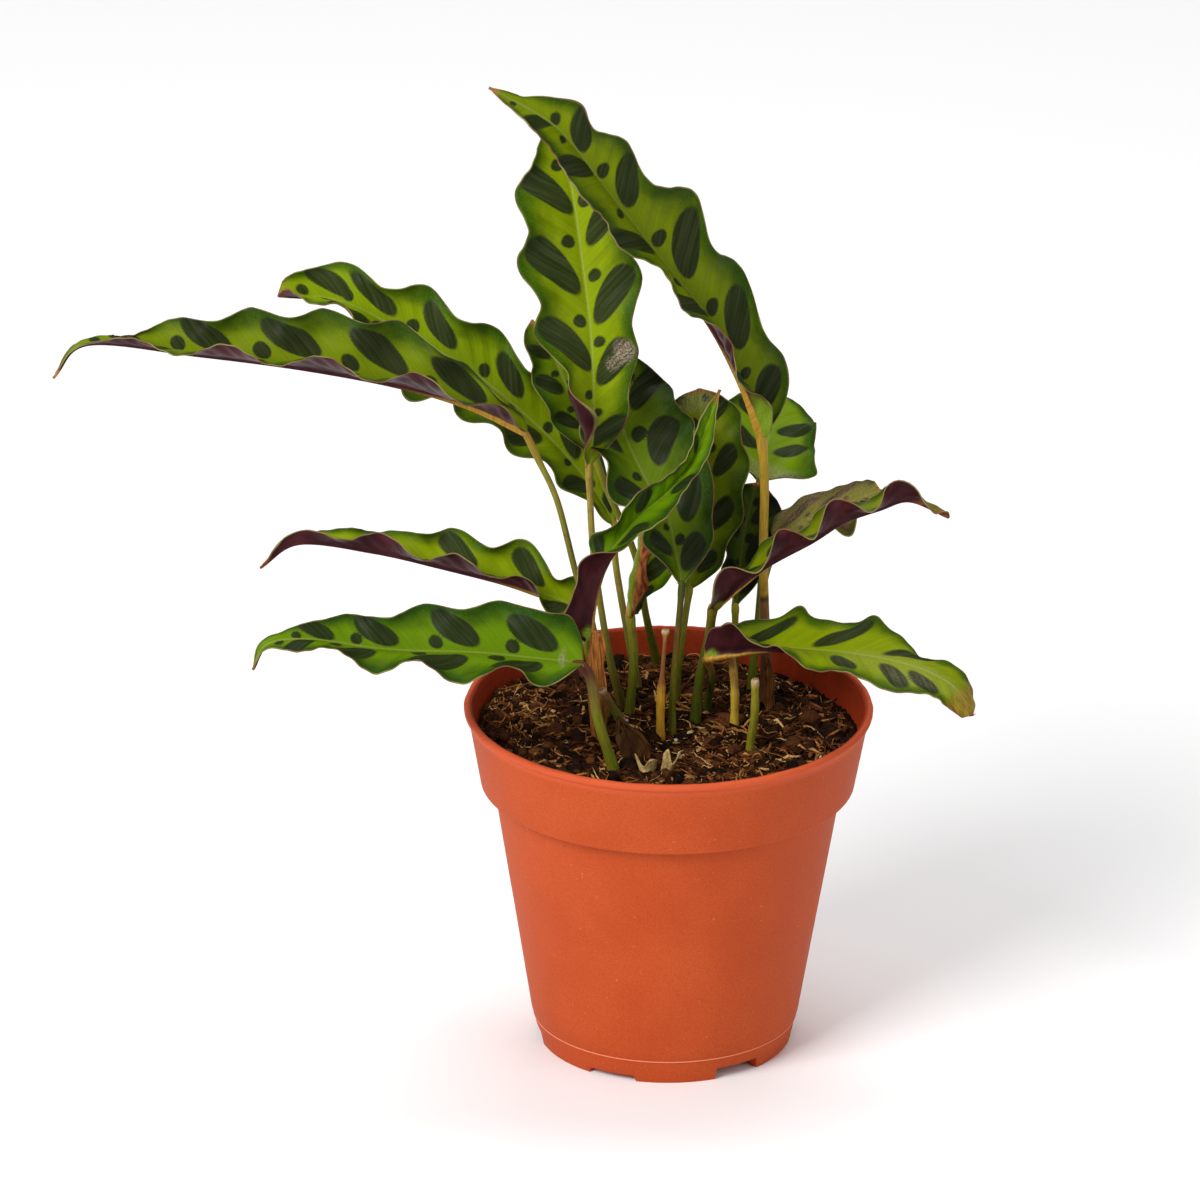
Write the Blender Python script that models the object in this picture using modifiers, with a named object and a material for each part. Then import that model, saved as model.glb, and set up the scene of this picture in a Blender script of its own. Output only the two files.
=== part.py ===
"""A rattlesnake plant in a 105 mm nursery pot.

Sixteen lance-shaped leaves rise from the soil, each on its own stalk.  The pot
stands on the floor with the centre of its foot at the origin, Z is up, and the
plant's show side faces -Y.
"""
import math

import bmesh
import bpy
import numpy as np
from mathutils import Matrix, Vector

MM = 0.001
GAP = 0.3                        # clearance between neighbouring solids, mm

# Pot, mm
POT_HEIGHT = 92.0
RIM_RADIUS = 52.5
LIP_HEIGHT = 1.4
COLLAR_FOOT_RADIUS = 48.1
COLLAR_HEIGHT = 21.0
COLLAR_STEP = 0.5                # how far the collar's underside drops towards the body
BODY_TOP_RADIUS = 44.75
FOOT_RADIUS = 32.6
FOOT_FLARE_HEIGHT = 8.3
FOOT_FLARE = 2.0
WALL = 1.1
FLOOR_BOTTOM = 3.6
FLOOR_TOP = 4.8
FOOT_RING_WIDTH = 2.6
PAD_RADIUS = 9.0                 # flat pad in the middle of the foot
NOTCH_COUNT = 6
NOTCH_WIDTH = 12.5
NOTCH_HEIGHTS = (1.5, 3.2)
NOTCH_START = -115.0             # degrees from +X
DRAIN_COUNT = 6
DRAIN_RADIUS = 3.0
DRAIN_CIRCLE = 19.0

# Soil, mm
SOIL_EDGE = 83.5
SOIL_CROWN = 85.0
SOCKET_BOTTOM = 78.0

# Leaves, mm
FRONT = np.array([0.0, -0.92, 0.39])   # the way the show side looks
BLADE_THICKNESS = 0.8
STALK_RADIUS = 1.25
STALK_SIDES = 8
STALK_RINGS = 9
CROSS_CELLS = 2                  # cells from midrib to margin
CELL_LENGTH = 5.6
LOBE = 0.5                       # how far a wave draws the margin in, per unit of its height

# One row per leaf.  stalk: from the soil to the blade.  midrib: from the blade's
# base to its tip.  turn: degrees about the midrib away from facing FRONT, read from
# base to tip.  half_width: at the widest place.  shape: fullness of base and tip.
# fold: degrees that the left and right halves rise from flat, from base to tip.
# waves, depth, phase: the margin's waves, for the left and the right half.
# lobe: how far those waves draw the margin in, where it isn't LOBE.
LEAVES = {
    "tall_arching": dict(
        stalk=[(25, 18), (25, 19, 99), (24, 18, 125), (24, 18, 147), (23, 17, 159)],
        midrib=[(23, 17, 160), (17, 13, 178), (9, 9, 195), (-3, 4, 213), (-17, -2, 234), (-30, -7, 253),
                (-47, -10, 265)],
        turn=[-52, -50, -35, -18, -15], half_width=(13.3, 13.5), shape=(0.5, 0.85),
        fold=([90, 50, 36, 38, 30], [42, 40, 30, 20, 20]),
        waves=(4.9, 4.8), depth=(1.8, 2.6), phase=(0.85, 0.27)),
    "tall_upright": dict(
        stalk=[(-12, 11), (-15, 9, 100), (-18, 8, 118), (-20, 8, 134), (-21, 9, 153)],
        midrib=[(-21, 9, 154), (-20, 10, 168), (-21, 12, 190), (-23, 14, 206), (-26, 15, 227),
                (-30, 16, 245)],
        turn=[-20, -5, 0], half_width=(16.0, 14.0), shape=(0.85, 0.5),
        fold=([60, 20, 18], [5, 18, 18]),
        waves=(4.7, 4.6), depth=(2.2, 2.0), phase=(-0.2, 0.3)),
    "long_left": dict(
        stalk=[(-16, 4), (-18, 2, 102), (-20, 1, 115), (-24, 0, 128), (-29, -2, 149), (-34, -3, 161),
               (-37, -4, 168)],
        midrib=[(-37, -4, 169), (-52, -8, 178), (-70, -12, 185), (-94, -16, 191), (-120, -18, 195),
                (-148, -19, 198), (-157, -20, 189)],
        turn=[-58], half_width=(16.0, 16.0), shape=(0.65, 1.1), fold=([37], [37]),
        waves=(5.5, 6.75), depth=(2.2, 3.0), phase=(0.72, 0.78), lobe=(0.5, 0.85)),
    "back_left": dict(
        stalk=[(-8, 25), (-11, 27, 102), (-14, 28, 120), (-14, 28, 129)],
        midrib=[(-14, 28, 130), (-22, 28, 143), (-34, 28, 157), (-51, 28, 172), (-70, 27, 184),
                (-85, 26, 192), (-101, 25, 194)],
        turn=[-20, -15, -5, -30], half_width=(12.5, 12.0), shape=(0.7, 0.5),
        fold=([18, 18, 30, 70], [18]),
        waves=(6.5, 5.5), depth=(2.0, 2.6), phase=(0.7, 0.95)),
    "small_back": dict(
        stalk=[(-3, 39), (-6, 31, 104), (-9, 23, 124), (-17, 22, 144), (-20, 24, 152)],
        midrib=[(-20, 24, 153), (-25, 22, 166), (-31, 19, 182), (-36, 17, 191)],
        turn=[10], half_width=(7.5, 3.5), shape=(0.5, 0.5), fold=([15], [15]),
        waves=(3.0, 3.0), depth=(1.0, 1.0), phase=(0.0, 0.25)),
    "broad_centre": dict(
        stalk=[(1, -4), (1, -4, 97), (2, -4, 112), (3, -3, 126)],
        midrib=[(3, -3, 127), (-1, 2, 144), (-6, 8, 150), (-12, 17, 160), (-14, 24, 169), (-14, 30, 177)],
        turn=[0, -20, -15], half_width=(7.5, 17.0), shape=(0.7, 0.5),
        fold=([35, 20, 0], [15]),
        waves=(4.0, 4.0), depth=(2.0, 2.0), phase=(0.0, 0.25)),
    "twisted_front": dict(
        stalk=[(-17, -4), (-19, -10, 103), (-21, -14, 115)],
        midrib=[(-21, -14, 116), (-20, -13, 125), (-18, -12, 133), (-15, -11, 139), (-8, -9, 148),
                (0, -7, 155), (6, -6, 164), (12, -4, 181)],
        turn=[120, 110, 15, 0, 0, 0], half_width=(7.0, 9.0), shape=(0.35, 0.75),
        fold=([20, 30, 55, 50, 45], [20, 40, 60, 50, 45]),
        waves=(3.0, 3.0), depth=(1.2, 1.2), phase=(0.0, 0.25)),
    "rolled_centre": dict(
        stalk=[(-10, 7), (-9, 8, 101), (-10, 9, 112)],
        midrib=[(-10, 9, 113), (-8, 9, 123), (-6, 9, 134), (-4, 10, 143), (-2, 12, 152)],
        turn=[-20], half_width=(5.5, 10.0), shape=(0.5, 0.6), fold=([105], [20]),
        waves=(3.0, 3.0), depth=(0.8, 1.0), phase=(0.0, 0.25)),
    "inner_right": dict(
        stalk=[(2, 19), (3, 19, 99), (5, 20, 115)],
        midrib=[(5, 20, 116), (7, 22, 129), (8, 25, 141), (8, 28, 154), (7, 31, 167)],
        turn=[-10], half_width=(11.5, 11.5), shape=(0.6, 0.4), fold=([15], [15]),
        waves=(4.0, 4.0), depth=(1.5, 1.5), phase=(0.0, 0.25)),
    "shaded_right": dict(
        stalk=[(17, 24), (17, 23, 98), (17, 20, 110)],
        midrib=[(17, 20, 111), (18, 24, 120), (19, 27, 129), (22, 31, 141)],
        turn=[-15], half_width=(6.0, 9.0), shape=(0.9, 0.5), fold=([5], [5]),
        waves=(3.0, 3.0), depth=(1.5, 1.5), phase=(0.0, 0.25)),
    "far_right": dict(
        stalk=[(21.5, 27), (23, 29, 104), (24, 34, 122), (23, 36, 139)],
        midrib=[(23, 36, 140), (25, 48, 146), (27, 64, 152)],
        turn=[-10], half_width=(14.0, 14.0), shape=(0.4, 0.5), fold=([10], [10]),
        waves=(3.0, 3.0), depth=(1.5, 1.2), phase=(0.0, 0.25)),
    "grey_right": dict(
        stalk=[(25, 23.5), (24.6, 22.5, 104), (24.2, 21.7, 116), (27, 22, 127)],
        midrib=[(27, 22, 128), (33, 23, 133), (43, 25, 137), (54, 27, 141)],
        turn=[60], half_width=(10.0, 10.0), shape=(0.5, 0.3), fold=([5], [-10]),
        waves=(3.0, 3.0), depth=(1.5, 2.5), phase=(0.0, 0.25)),
    "wavy_right": dict(
        stalk=[(7, 4), (8, 4, 98), (10, 2, 109), (11, -3, 120)],
        midrib=[(11, -4, 121), (18, -5, 128), (25, -5, 134), (36, -4, 140), (44, -3, 145), (53, -2, 148),
                (61, -1, 150), (71, 0, 145)],
        turn=[85], half_width=(9.0, 9.0), shape=(0.38, 0.5), fold=([24], [24]),
        waves=(4.0, 4.0), depth=(2.0, 2.5), phase=(0.05, 0.55)),
    "low_right": dict(
        stalk=[(10, 12), (11, 8, 94), (11, 3, 100), (9.5, -1, 105)],
        midrib=[(9.5, -2, 106), (17, -4, 108.5), (26, -7, 111), (46, -19, 115), (61, -26, 115),
                (71, -29, 111.5), (75.5, -31, 107), (77, -32, 103.5)],
        turn=[50], half_width=(10.5, 10.5), shape=(0.3, 0.16),
        fold=([10, 10, 0, -20], [110, 78, 38, 15, 5, 0, -5, -5]),
        waves=(3.7, 3.7), depth=(1.0, 1.2), phase=(0.1, 0.11)),
    "low_left": dict(
        stalk=[(-14, -30), (-18, -31, 101), (-20, -31, 112), (-22, -30, 115)],
        midrib=[(-22, -30, 116), (-37, -31, 118), (-50, -33, 120), (-72, -34, 121), (-91, -35, 124),
                (-102, -36, 123), (-106, -36, 116)],
        turn=[-39], half_width=(14.5, 12.7), shape=(0.45, 1.0), fold=([29], [29]),
        waves=(4.1, 4.7), depth=(2.4, 2.2), phase=(0.27, 0.59), lobe=(0.5, 0.7)),
    "middle_left": dict(
        stalk=[(-18, 15), (-21, 7, 104), (-23, 4, 116)],
        midrib=[(-23, 4, 117), (-32, 3, 121), (-42, 2, 125), (-60, 1, 130), (-76, 0, 134), (-95, 0, 136),
                (-105, 0, 129)],
        turn=[-30, -60, -85, -95], half_width=(10.5, 10.0), shape=(0.4, 0.8),
        fold=([10, 45, 33, 33, 33], [43, 35, 33]),
        waves=(4.5, 5.0), depth=(2.5, 3.0), phase=(0.4, 0.7), lobe=(0.5, 1.0)),
}

# Stalks that were cut off, from the soil to the cut.
STUBS = {
    "tall_stub": [(-2, -8), (-2, -8, 98), (-1, -7, 116)],
    "right_stub": [(17, 3), (17, 3, 95), (16, 4, 105)],
    "front_stub": [(21, -13), (22, -13, 95), (22, -13, 105)],
    "left_stub": [(-11, -13), (-12.5, -14.5, 94), (-17.3, -20.5, 105)],
}

# Dry sheaths are shaped like small blades that curl round what they wrap.
SHEATHS = {
    "dry_sheath_left": dict(
        midrib=[(-17.3, -10, 85.5), (-18.2, -15, 98), (-18.6, -18.5, 110), (-18.6, -20, 121)],
        turn=[0], half_width=(4.4, 4.4), shape=(0.3, 0.3), fold=([-25], [-25]), curl=-55,
        waves=(2.0, 2.0), depth=(0.3, 0.3), phase=(0.0, 0.5)),
    "dry_flap_front": dict(
        midrib=[(-7, -20, 85.5), (-10, -20, 91), (-13, -19.5, 97)],
        turn=[0], half_width=(4.0, 4.0), shape=(0.4, 0.8), fold=([20], [20]), curl=0,
        waves=(1.0, 1.0), depth=(0.5, 0.5), phase=(0.0, 0.5)),
    "dry_sheath_right": dict(
        midrib=[(25.5, 14.5, 85.5), (25.5, 14.5, 93), (25, 14.5, 100)],
        turn=[20], half_width=(2.4, 2.4), shape=(0.2, 0.5), fold=([-25], [-25]), curl=-60,
        waves=(1.0, 1.0), depth=(0.2, 0.2), phase=(0.0, 0.5)),
}

COLOURS = {
    "terracotta": ((0.60, 0.10, 0.032, 1), 0.55),
    "soil": ((0.035, 0.017, 0.008, 1), 0.95),
    "leaf": ((0.12, 0.30, 0.012, 1), 0.4),
    "stalk": ((0.25, 0.25, 0.03, 1), 0.5),
    "dry": ((0.16, 0.07, 0.03, 1), 0.9),
}


def clear_scene():
    """Remove every object of the open file."""
    for old in list(bpy.data.objects):
        bpy.data.objects.remove(old, do_unlink=True)


def make_collection(name):
    """A new collection in the scene."""
    made = bpy.data.collections.new(name)
    bpy.context.scene.collection.children.link(made)
    return made


def make_material(name):
    """The Principled material of one colour."""
    colour, roughness = COLOURS[name]
    material = bpy.data.materials.new(name)
    material.use_nodes = True
    shader = material.node_tree.nodes["Principled BSDF"]
    shader.inputs["Base Color"].default_value = colour
    shader.inputs["Roughness"].default_value = roughness
    shader.inputs["Metallic"].default_value = 0.0
    return material


def unit(vectors):
    """The same vectors at length 1."""
    return vectors / np.linalg.norm(vectors, axis=-1, keepdims=True)


def smooth_path(points, steps):
    """steps + 1 evenly spaced points along a smooth curve through the given points."""
    points = np.array(points, float)
    ends = [2 * points[0] - points[1]], [2 * points[-1] - points[-2]]
    knots = np.concatenate([ends[0], points, ends[1]])
    u = np.linspace(0, 1, 20, endpoint=False)[:, None]
    dense = []
    for a, b, c, d in zip(knots, knots[1:], knots[2:], knots[3:]):
        dense.append(b + 0.5 * u * (c - a + u * (2 * a - 5 * b + 4 * c - d + u * (3 * (b - c) + d - a))))
    dense = np.concatenate(dense + [points[-1:]])
    run = np.concatenate([[0], np.cumsum(np.linalg.norm(np.diff(dense, axis=0), axis=1))])
    wanted = np.linspace(0, run[-1], steps + 1)
    return np.stack([np.interp(wanted, run, dense[:, axis]) for axis in range(3)], axis=1)


def eased(values, t):
    """Values spaced evenly from base to tip, read at t with a soft step between them."""
    values = np.array(values, float)
    if len(values) == 1:
        return np.full_like(t, values[0])
    place = t * (len(values) - 1)
    lower = np.clip(place.astype(int), 0, len(values) - 2)
    part = place - lower
    part = part * part * (3 - 2 * part)
    return values[lower] * (1 - part) + values[lower + 1] * part


def outline(t, base, tip):
    """The half width of a lance-shaped blade, 1 at its widest."""
    peak = base / (base + tip)
    return t ** base * (1 - t) ** tip / (peak ** base * (1 - peak) ** tip)


def blade_frame(leaf, steps):
    """The midrib, its left-hand and upward directions, and its spread from 0 to 1, base to tip."""
    t = np.linspace(0, 1, steps + 1)
    midrib = smooth_path(leaf["midrib"], steps)
    along = unit(np.gradient(midrib, axis=0))
    facing = unit(FRONT - (along @ FRONT)[:, None] * along)
    turn = np.radians(eased(leaf["turn"], t))[:, None]
    up = np.cos(turn) * facing + np.sin(turn) * np.cross(facing, along)
    spread = np.maximum(outline(t, *leaf["shape"]), 0.06)
    return t, midrib, np.cross(up, along), up, spread


def half_blade(leaf, steps, cells, side):
    """Points of one half, base to tip and midrib to margin; side is 0 for left, 1 for right."""
    t, midrib, left, up, spread = blade_frame(leaf, steps)
    width = leaf["half_width"][side] * spread[:, None]
    q = np.linspace(0, 1, cells + 1)
    rise = np.radians(eased(leaf["fold"][side], t)[:, None] + leaf.get("curl", 0) * q)
    middle = (rise[:, 1:] + rise[:, :-1]) / 2
    start = np.zeros((steps + 1, 1))
    out = np.hstack([start, np.cumsum(np.cos(middle), axis=1)]) / cells * width
    lift = np.hstack([start, np.cumsum(np.sin(middle), axis=1)]) / cells * width
    crest = np.sin(2 * math.pi * (leaf["waves"][side] * t + leaf["phase"][side]))
    crest *= leaf["depth"][side] * np.minimum(1.4 * spread, 1)
    wave = crest[:, None] * q ** 1.7
    draw = leaf.get("lobe", (LOBE, LOBE))[side] * crest[:, None] * q ** 2
    out = out - np.sin(rise) * wave - np.cos(rise) * draw
    lift = lift + np.cos(rise) * wave - np.sin(rise) * draw
    sideways = left if side == 0 else -left
    return midrib[:, None] + out[..., None] * sideways[:, None] + lift[..., None] * up[:, None]


def blade_points(leaf, steps, cells):
    """The grid of points of a whole blade, from its right margin to its left margin."""
    left = half_blade(leaf, steps, cells, 0)
    right = half_blade(leaf, steps, cells, 1)
    return np.concatenate([right[:, ::-1], left[:, 1:]], axis=1)


def midrib_length(leaf):
    """How long a blade is, in mm."""
    return np.linalg.norm(np.diff(smooth_path(leaf["midrib"], 40), axis=0), axis=1).sum()


def add_object(name, mesh, material, collection):
    """Link a mesh as a named object."""
    made = bpy.data.objects.new(name, mesh)
    collection.objects.link(made)
    if material is not None:
        mesh.materials.append(material)
    return made


def make_blade(name, leaf, thickness, material, collection):
    """A grid moved onto the blade's surface and thickened."""
    steps = max(10, round(midrib_length(leaf) / CELL_LENGTH))
    points = blade_points(leaf, steps, CROSS_CELLS) * MM
    shape = bmesh.new()
    bmesh.ops.create_grid(shape, x_segments=2 * CROSS_CELLS, y_segments=steps, size=1)
    shape.verts.ensure_lookup_table()
    for vert, place in zip(shape.verts, points.reshape(-1, 3)):
        vert.co = place
    mesh = bpy.data.meshes.new(name)
    shape.to_mesh(mesh)
    shape.free()
    mesh.shade_smooth()
    made = add_object(name, mesh, material, collection)
    solid = made.modifiers.new("Thickness", "SOLIDIFY")
    solid.thickness = thickness * MM
    solid.offset = 0
    return made


def stalk_path(points):
    """A stalk's points: upright in its socket, then smooth to its end."""
    foot = points[0]
    above = smooth_path([(foot[0], foot[1], SOIL_CROWN + 1.5)] + points[1:], STALK_RINGS - 1)
    return np.vstack([[foot[0], foot[1], SOCKET_BOTTOM + GAP], above])


def make_stalk(name, points, radii, material, collection):
    """A round stalk, tapered from its foot to its end."""
    path = stalk_path(points) * MM
    curve = bpy.data.curves.new(name, "CURVE")
    curve.dimensions = "3D"
    curve.bevel_depth = MM
    curve.bevel_resolution = STALK_SIDES // 4
    curve.use_fill_caps = True
    spline = curve.splines.new("POLY")
    spline.points.add(len(path) - 1)
    for knot, place, part in zip(spline.points, path, np.linspace(0, 1, len(path))):
        knot.co = (*place, 1)
        knot.radius = radii[0] + (radii[1] - radii[0]) * part
    spline.use_smooth = True
    return add_object(name, curve, material, collection)


def turned(name, profile, steps, material, collection):
    """A closed body turned about Z; the profile runs down its outer side."""
    mesh = bpy.data.meshes.new(name)
    mesh.from_pydata([(r * MM, 0, z * MM) for r, z in profile],
                     [(i, i + 1) for i in range(len(profile) - 1)], [])
    made = add_object(name, mesh, material, collection)
    screw = made.modifiers.new("Turn", "SCREW")
    screw.steps = screw.render_steps = steps
    screw.use_merge_vertices = True
    screw.merge_threshold = 0.00001
    screw.use_normal_calculate = False
    screw.use_smooth_shade = True
    return made


def make_cutter(name, mesh_tool, matrix, collection):
    """A wire-shown body for a Boolean, made by one bmesh operator."""
    shape = bmesh.new()
    mesh_tool(shape)
    shape.transform(matrix)
    mesh = bpy.data.meshes.new(name)
    shape.to_mesh(mesh)
    shape.free()
    made = add_object(name, mesh, None, collection)
    made.hide_render = True
    made.display_type = "WIRE"
    return made


def cylinder(radius, depth, sides):
    """The bmesh operator call for an upright cylinder, in mm."""
    return lambda shape: bmesh.ops.create_cone(
        shape, cap_ends=True, segments=sides, radius1=radius * MM, radius2=radius * MM, depth=depth * MM)


def cube(shape):
    """The bmesh operator call for a unit cube."""
    bmesh.ops.create_cube(shape, size=1)


def cut_with(target, collection):
    """Cut every body of a collection out of the target."""
    cut = target.modifiers.new("Cut", "BOOLEAN")
    cut.operation = "DIFFERENCE"
    cut.solver = "EXACT"
    cut.operand_type = "COLLECTION"
    cut.collection = collection


def pot_outer():
    """The pot's outer side, top to bottom, as (radius, height)."""
    collar_foot = POT_HEIGHT - COLLAR_HEIGHT
    return [(RIM_RADIUS, POT_HEIGHT), (RIM_RADIUS, POT_HEIGHT - LIP_HEIGHT),
            (RIM_RADIUS - 0.9, POT_HEIGHT - LIP_HEIGHT - 0.6), (COLLAR_FOOT_RADIUS, collar_foot + 0.6),
            (COLLAR_FOOT_RADIUS - 0.5, collar_foot), (BODY_TOP_RADIUS, collar_foot - COLLAR_STEP),
            (FOOT_RADIUS + FOOT_FLARE, FOOT_FLARE_HEIGHT), (FOOT_RADIUS, 0)]


def pot_inner():
    """The pot's inner side, from its floor's centre up to the rim."""
    collar_foot = POT_HEIGHT - COLLAR_HEIGHT
    return [(0, WALL), (PAD_RADIUS, WALL), (PAD_RADIUS + 1.5, FLOOR_TOP),
            (FOOT_RADIUS + FOOT_FLARE - WALL - 1.5, FLOOR_TOP),
            (FOOT_RADIUS + FOOT_FLARE - WALL, FOOT_FLARE_HEIGHT),
            (BODY_TOP_RADIUS - WALL, collar_foot - COLLAR_STEP + WALL),
            (COLLAR_FOOT_RADIUS - WALL, collar_foot + WALL), (RIM_RADIUS - 0.9 - WALL, POT_HEIGHT)]


def make_pot(material, parts, cutters):
    """The thin-walled pot with a foot ring, a middle pad, notches and drain holes."""
    ring = FOOT_RADIUS - FOOT_RING_WIDTH
    under = [(ring, 0), (ring, FLOOR_BOTTOM), (PAD_RADIUS + 2.5, FLOOR_BOTTOM), (PAD_RADIUS + 1, 0), (0, 0)]
    profile = pot_outer() + under
    inner = pot_inner()
    pot = turned("pot", profile + inner, 64, material, parts)
    close_profile(pot)
    for index in range(NOTCH_COUNT):
        angle = math.radians(NOTCH_START + 360 / NOTCH_COUNT * index)
        height = 2 * NOTCH_HEIGHTS[index % 2]
        middle = Matrix.Rotation(angle, 4, "Z") @ Matrix.Translation((FOOT_RADIUS * MM, 0, 0))
        size = Matrix.Diagonal((10 * MM, NOTCH_WIDTH * MM, height * MM, 1))
        make_cutter(f"notch_{index + 1}", cube, middle @ size, cutters)
    for index in range(DRAIN_COUNT):
        angle = math.radians(NOTCH_START + 360 / DRAIN_COUNT * (index + 0.5))
        middle = Matrix.Rotation(angle, 4, "Z") @ Matrix.Translation((DRAIN_CIRCLE * MM, 0, FLOOR_TOP * MM))
        make_cutter(f"drain_{index + 1}", cylinder(DRAIN_RADIUS, 6, 16), middle, cutters)
    cut_with(pot, cutters)
    return pot


def close_profile(pot):
    """Join the rim's inner edge to its outer edge."""
    mesh = pot.data
    count = len(mesh.vertices)
    mesh.edges.add(1)
    mesh.edges[-1].vertices = (count - 1, 0)


def soil_radius(z):
    """The soil's radius at a height: the pot's inside less the gap."""
    inner = pot_inner()
    heights = [place[1] for place in inner[1:]]
    radii = [place[0] for place in inner[1:]]
    return float(np.interp(z, heights, radii)) - GAP


def make_soil(feet, material, parts, cutters):
    """The root ball, slightly crowned, with a socket for each stalk."""
    low = FLOOR_TOP + GAP
    ledge = POT_HEIGHT - COLLAR_HEIGHT + WALL
    side = [(soil_radius(SOIL_EDGE), SOIL_EDGE), (soil_radius(ledge), ledge + GAP),
            (soil_radius(ledge - COLLAR_STEP), ledge - COLLAR_STEP + GAP),
            (soil_radius(FOOT_FLARE_HEIGHT), FOOT_FLARE_HEIGHT), (soil_radius(low), low)]
    crown = [(0, SOIL_CROWN), (20, SOIL_CROWN), (38, SOIL_CROWN - 0.4)]
    under = [(PAD_RADIUS + 1.4, low), (PAD_RADIUS - 0.2, WALL + GAP), (0, WALL + GAP)]
    soil = turned("soil", crown + side + under, 48, material, parts)
    depth = 2 * (SOIL_CROWN + 1 - SOCKET_BOTTOM)
    for index, (x, y, radius) in enumerate(feet):
        middle = Matrix.Translation((x * MM, y * MM, (SOCKET_BOTTOM + depth / 2) * MM))
        make_cutter(f"socket_{index + 1}", cylinder(radius + GAP + 0.15, depth, 12), middle, cutters)
    cut_with(soil, cutters)
    return soil


def main():
    """Build the potted plant."""
    clear_scene()
    parts = make_collection("potted_rattlesnake_plant")
    pot_cutters = make_collection("pot_cutters")
    soil_cutters = make_collection("soil_cutters")
    paint = {name: make_material(name) for name in COLOURS}
    make_pot(paint["terracotta"], parts, pot_cutters)
    stalks = {f"stalk_{name}": leaf["stalk"] for name, leaf in LEAVES.items()}
    feet = [(*path[0], STALK_RADIUS) for path in list(stalks.values()) + list(STUBS.values())]
    make_soil(feet, paint["soil"], parts, soil_cutters)
    for name, leaf in LEAVES.items():
        make_blade(f"blade_{name}", leaf, BLADE_THICKNESS, paint["leaf"], parts)
    for name, path in stalks.items():
        make_stalk(name, path, (STALK_RADIUS, STALK_RADIUS * 0.85), paint["stalk"], parts)
    for name, path in STUBS.items():
        make_stalk(name, path, (STALK_RADIUS, STALK_RADIUS), paint["stalk"], parts)
    for name, sheath in SHEATHS.items():
        make_blade(name, sheath, 0.5, paint["dry"], parts)


main()
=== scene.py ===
"""The look of a rattlesnake plant in a 105 mm nursery pot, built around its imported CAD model.

Lengths are in millimetres in the tables and the shape functions, and become metres in the meshes.
"""
import math

import bmesh
import bpy
import numpy as np
from mathutils import Matrix, Vector, noise


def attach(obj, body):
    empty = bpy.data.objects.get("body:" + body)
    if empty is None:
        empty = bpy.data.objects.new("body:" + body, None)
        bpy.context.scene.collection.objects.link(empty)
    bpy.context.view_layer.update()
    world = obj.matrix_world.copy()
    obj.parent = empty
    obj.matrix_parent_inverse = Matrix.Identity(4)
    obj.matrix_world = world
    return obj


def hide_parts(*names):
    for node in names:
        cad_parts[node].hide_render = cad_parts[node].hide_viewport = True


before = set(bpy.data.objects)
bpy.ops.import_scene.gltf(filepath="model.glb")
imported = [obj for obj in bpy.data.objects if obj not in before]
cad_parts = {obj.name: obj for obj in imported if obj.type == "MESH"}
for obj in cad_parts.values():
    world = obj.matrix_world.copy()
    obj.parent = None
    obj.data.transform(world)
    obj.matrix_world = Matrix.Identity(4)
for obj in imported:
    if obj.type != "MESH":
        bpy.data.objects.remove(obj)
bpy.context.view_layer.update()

MM = 0.001

# The leaves' shared numbers
FRONT = np.array([0.0, -0.92, 0.39])  # the way the show side looks
CELL = 0.75  # length of a cell along a leaf
LEAST_CELLS = 60  # along a short leaf
CROSS_CELLS = 24  # cells from midrib to margin
CROSS_POWER = 1.5  # above 1, cells are narrower near the midrib
LEAF_THICKNESS = 0.46
MARGIN_THICKNESS = 0.26
RIB_HEIGHT = 1.25  # of the midrib under the blade, at the blade's base
RIB_WIDTH = 0.75
VEIN_SLOPE = 0.95  # how far a side vein runs along, per unit that it runs out
VEIN_SPACING = 5.2
VEIN_HEIGHT = 0.16
RIPPLES = ((0.14, 3.1, 1.9), (0.22, 7.7, -4.1))  # (height, mm along and mm out per radian)
SMALL_AFTER = 0.055  # a small mark follows its large one by this share of the blade

# The stalks, stubs and dry sheaths
STALK_FOOT = (80.0, 86.5)  # a stalk starts in the soil, and stands straight between these
STALK_UNDER = ((2, 0.45), (8, 0.7), (14, 0.75))  # (step of 200 along the midrib, mm below it)
STALK_CELL = 0.8
STALK_SIDES = 20
STUB_CELL = 0.5
STUB_SIDES = 18
SHEATH_CELL = 0.4
SHEATH_CROSS_CELLS = 12
SHEET_HALF = 0.16  # half the thickness of a sheath or a standing scrap

# The pot
POT_TURN_STEPS = 384
POT_CELL = 2.2  # the longest step along the pot's section
POT_HEIGHT = 92.0
LIP_FROM = (50.0, 89.6)  # the lip lies beyond this radius and this height
SEAM = (6.4, 6.7)  # heights of the pale step above the foot
SHARP_ANGLE = math.radians(22)  # a steeper edge of the pot isn't smoothed
OVAL_FROM = 40.0  # the pot is a little oval beyond this radius
COLLAR_FROM = 45.0  # and uneven towards its lip beyond this one
COLLAR_FLAWS = (85.0, 89.0)  # heights where the lip starts to wander out and up
FOOT_RING = (29.8, 33.5)  # the ring of the foot that the notches cut, as radii
FOOT_RING_TOP = 3.3
FOOT_RADIUS = 32.6
# Notches, as (degrees, height)
NOTCHES = ((-115.0, 1.5), (-55.0, 3.2), (5.0, 1.5), (65.0, 3.2), (125.0, 1.5), (185.0, 3.2))
NOTCH_WIDTH = 12.5
DRAIN_COUNT = 6
DRAIN_RADIUS = 3.0
DRAIN_SIDES = 40
DRAIN_CIRCLE = 19.0
DRAIN_MIDDLE = 4.2  # height of a drilled cylinder's middle
DRAIN_DEPTH = 4
DRAIN_TURN = math.radians(1.5)  # keeps a hole's corners off the pot's own edges

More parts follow.
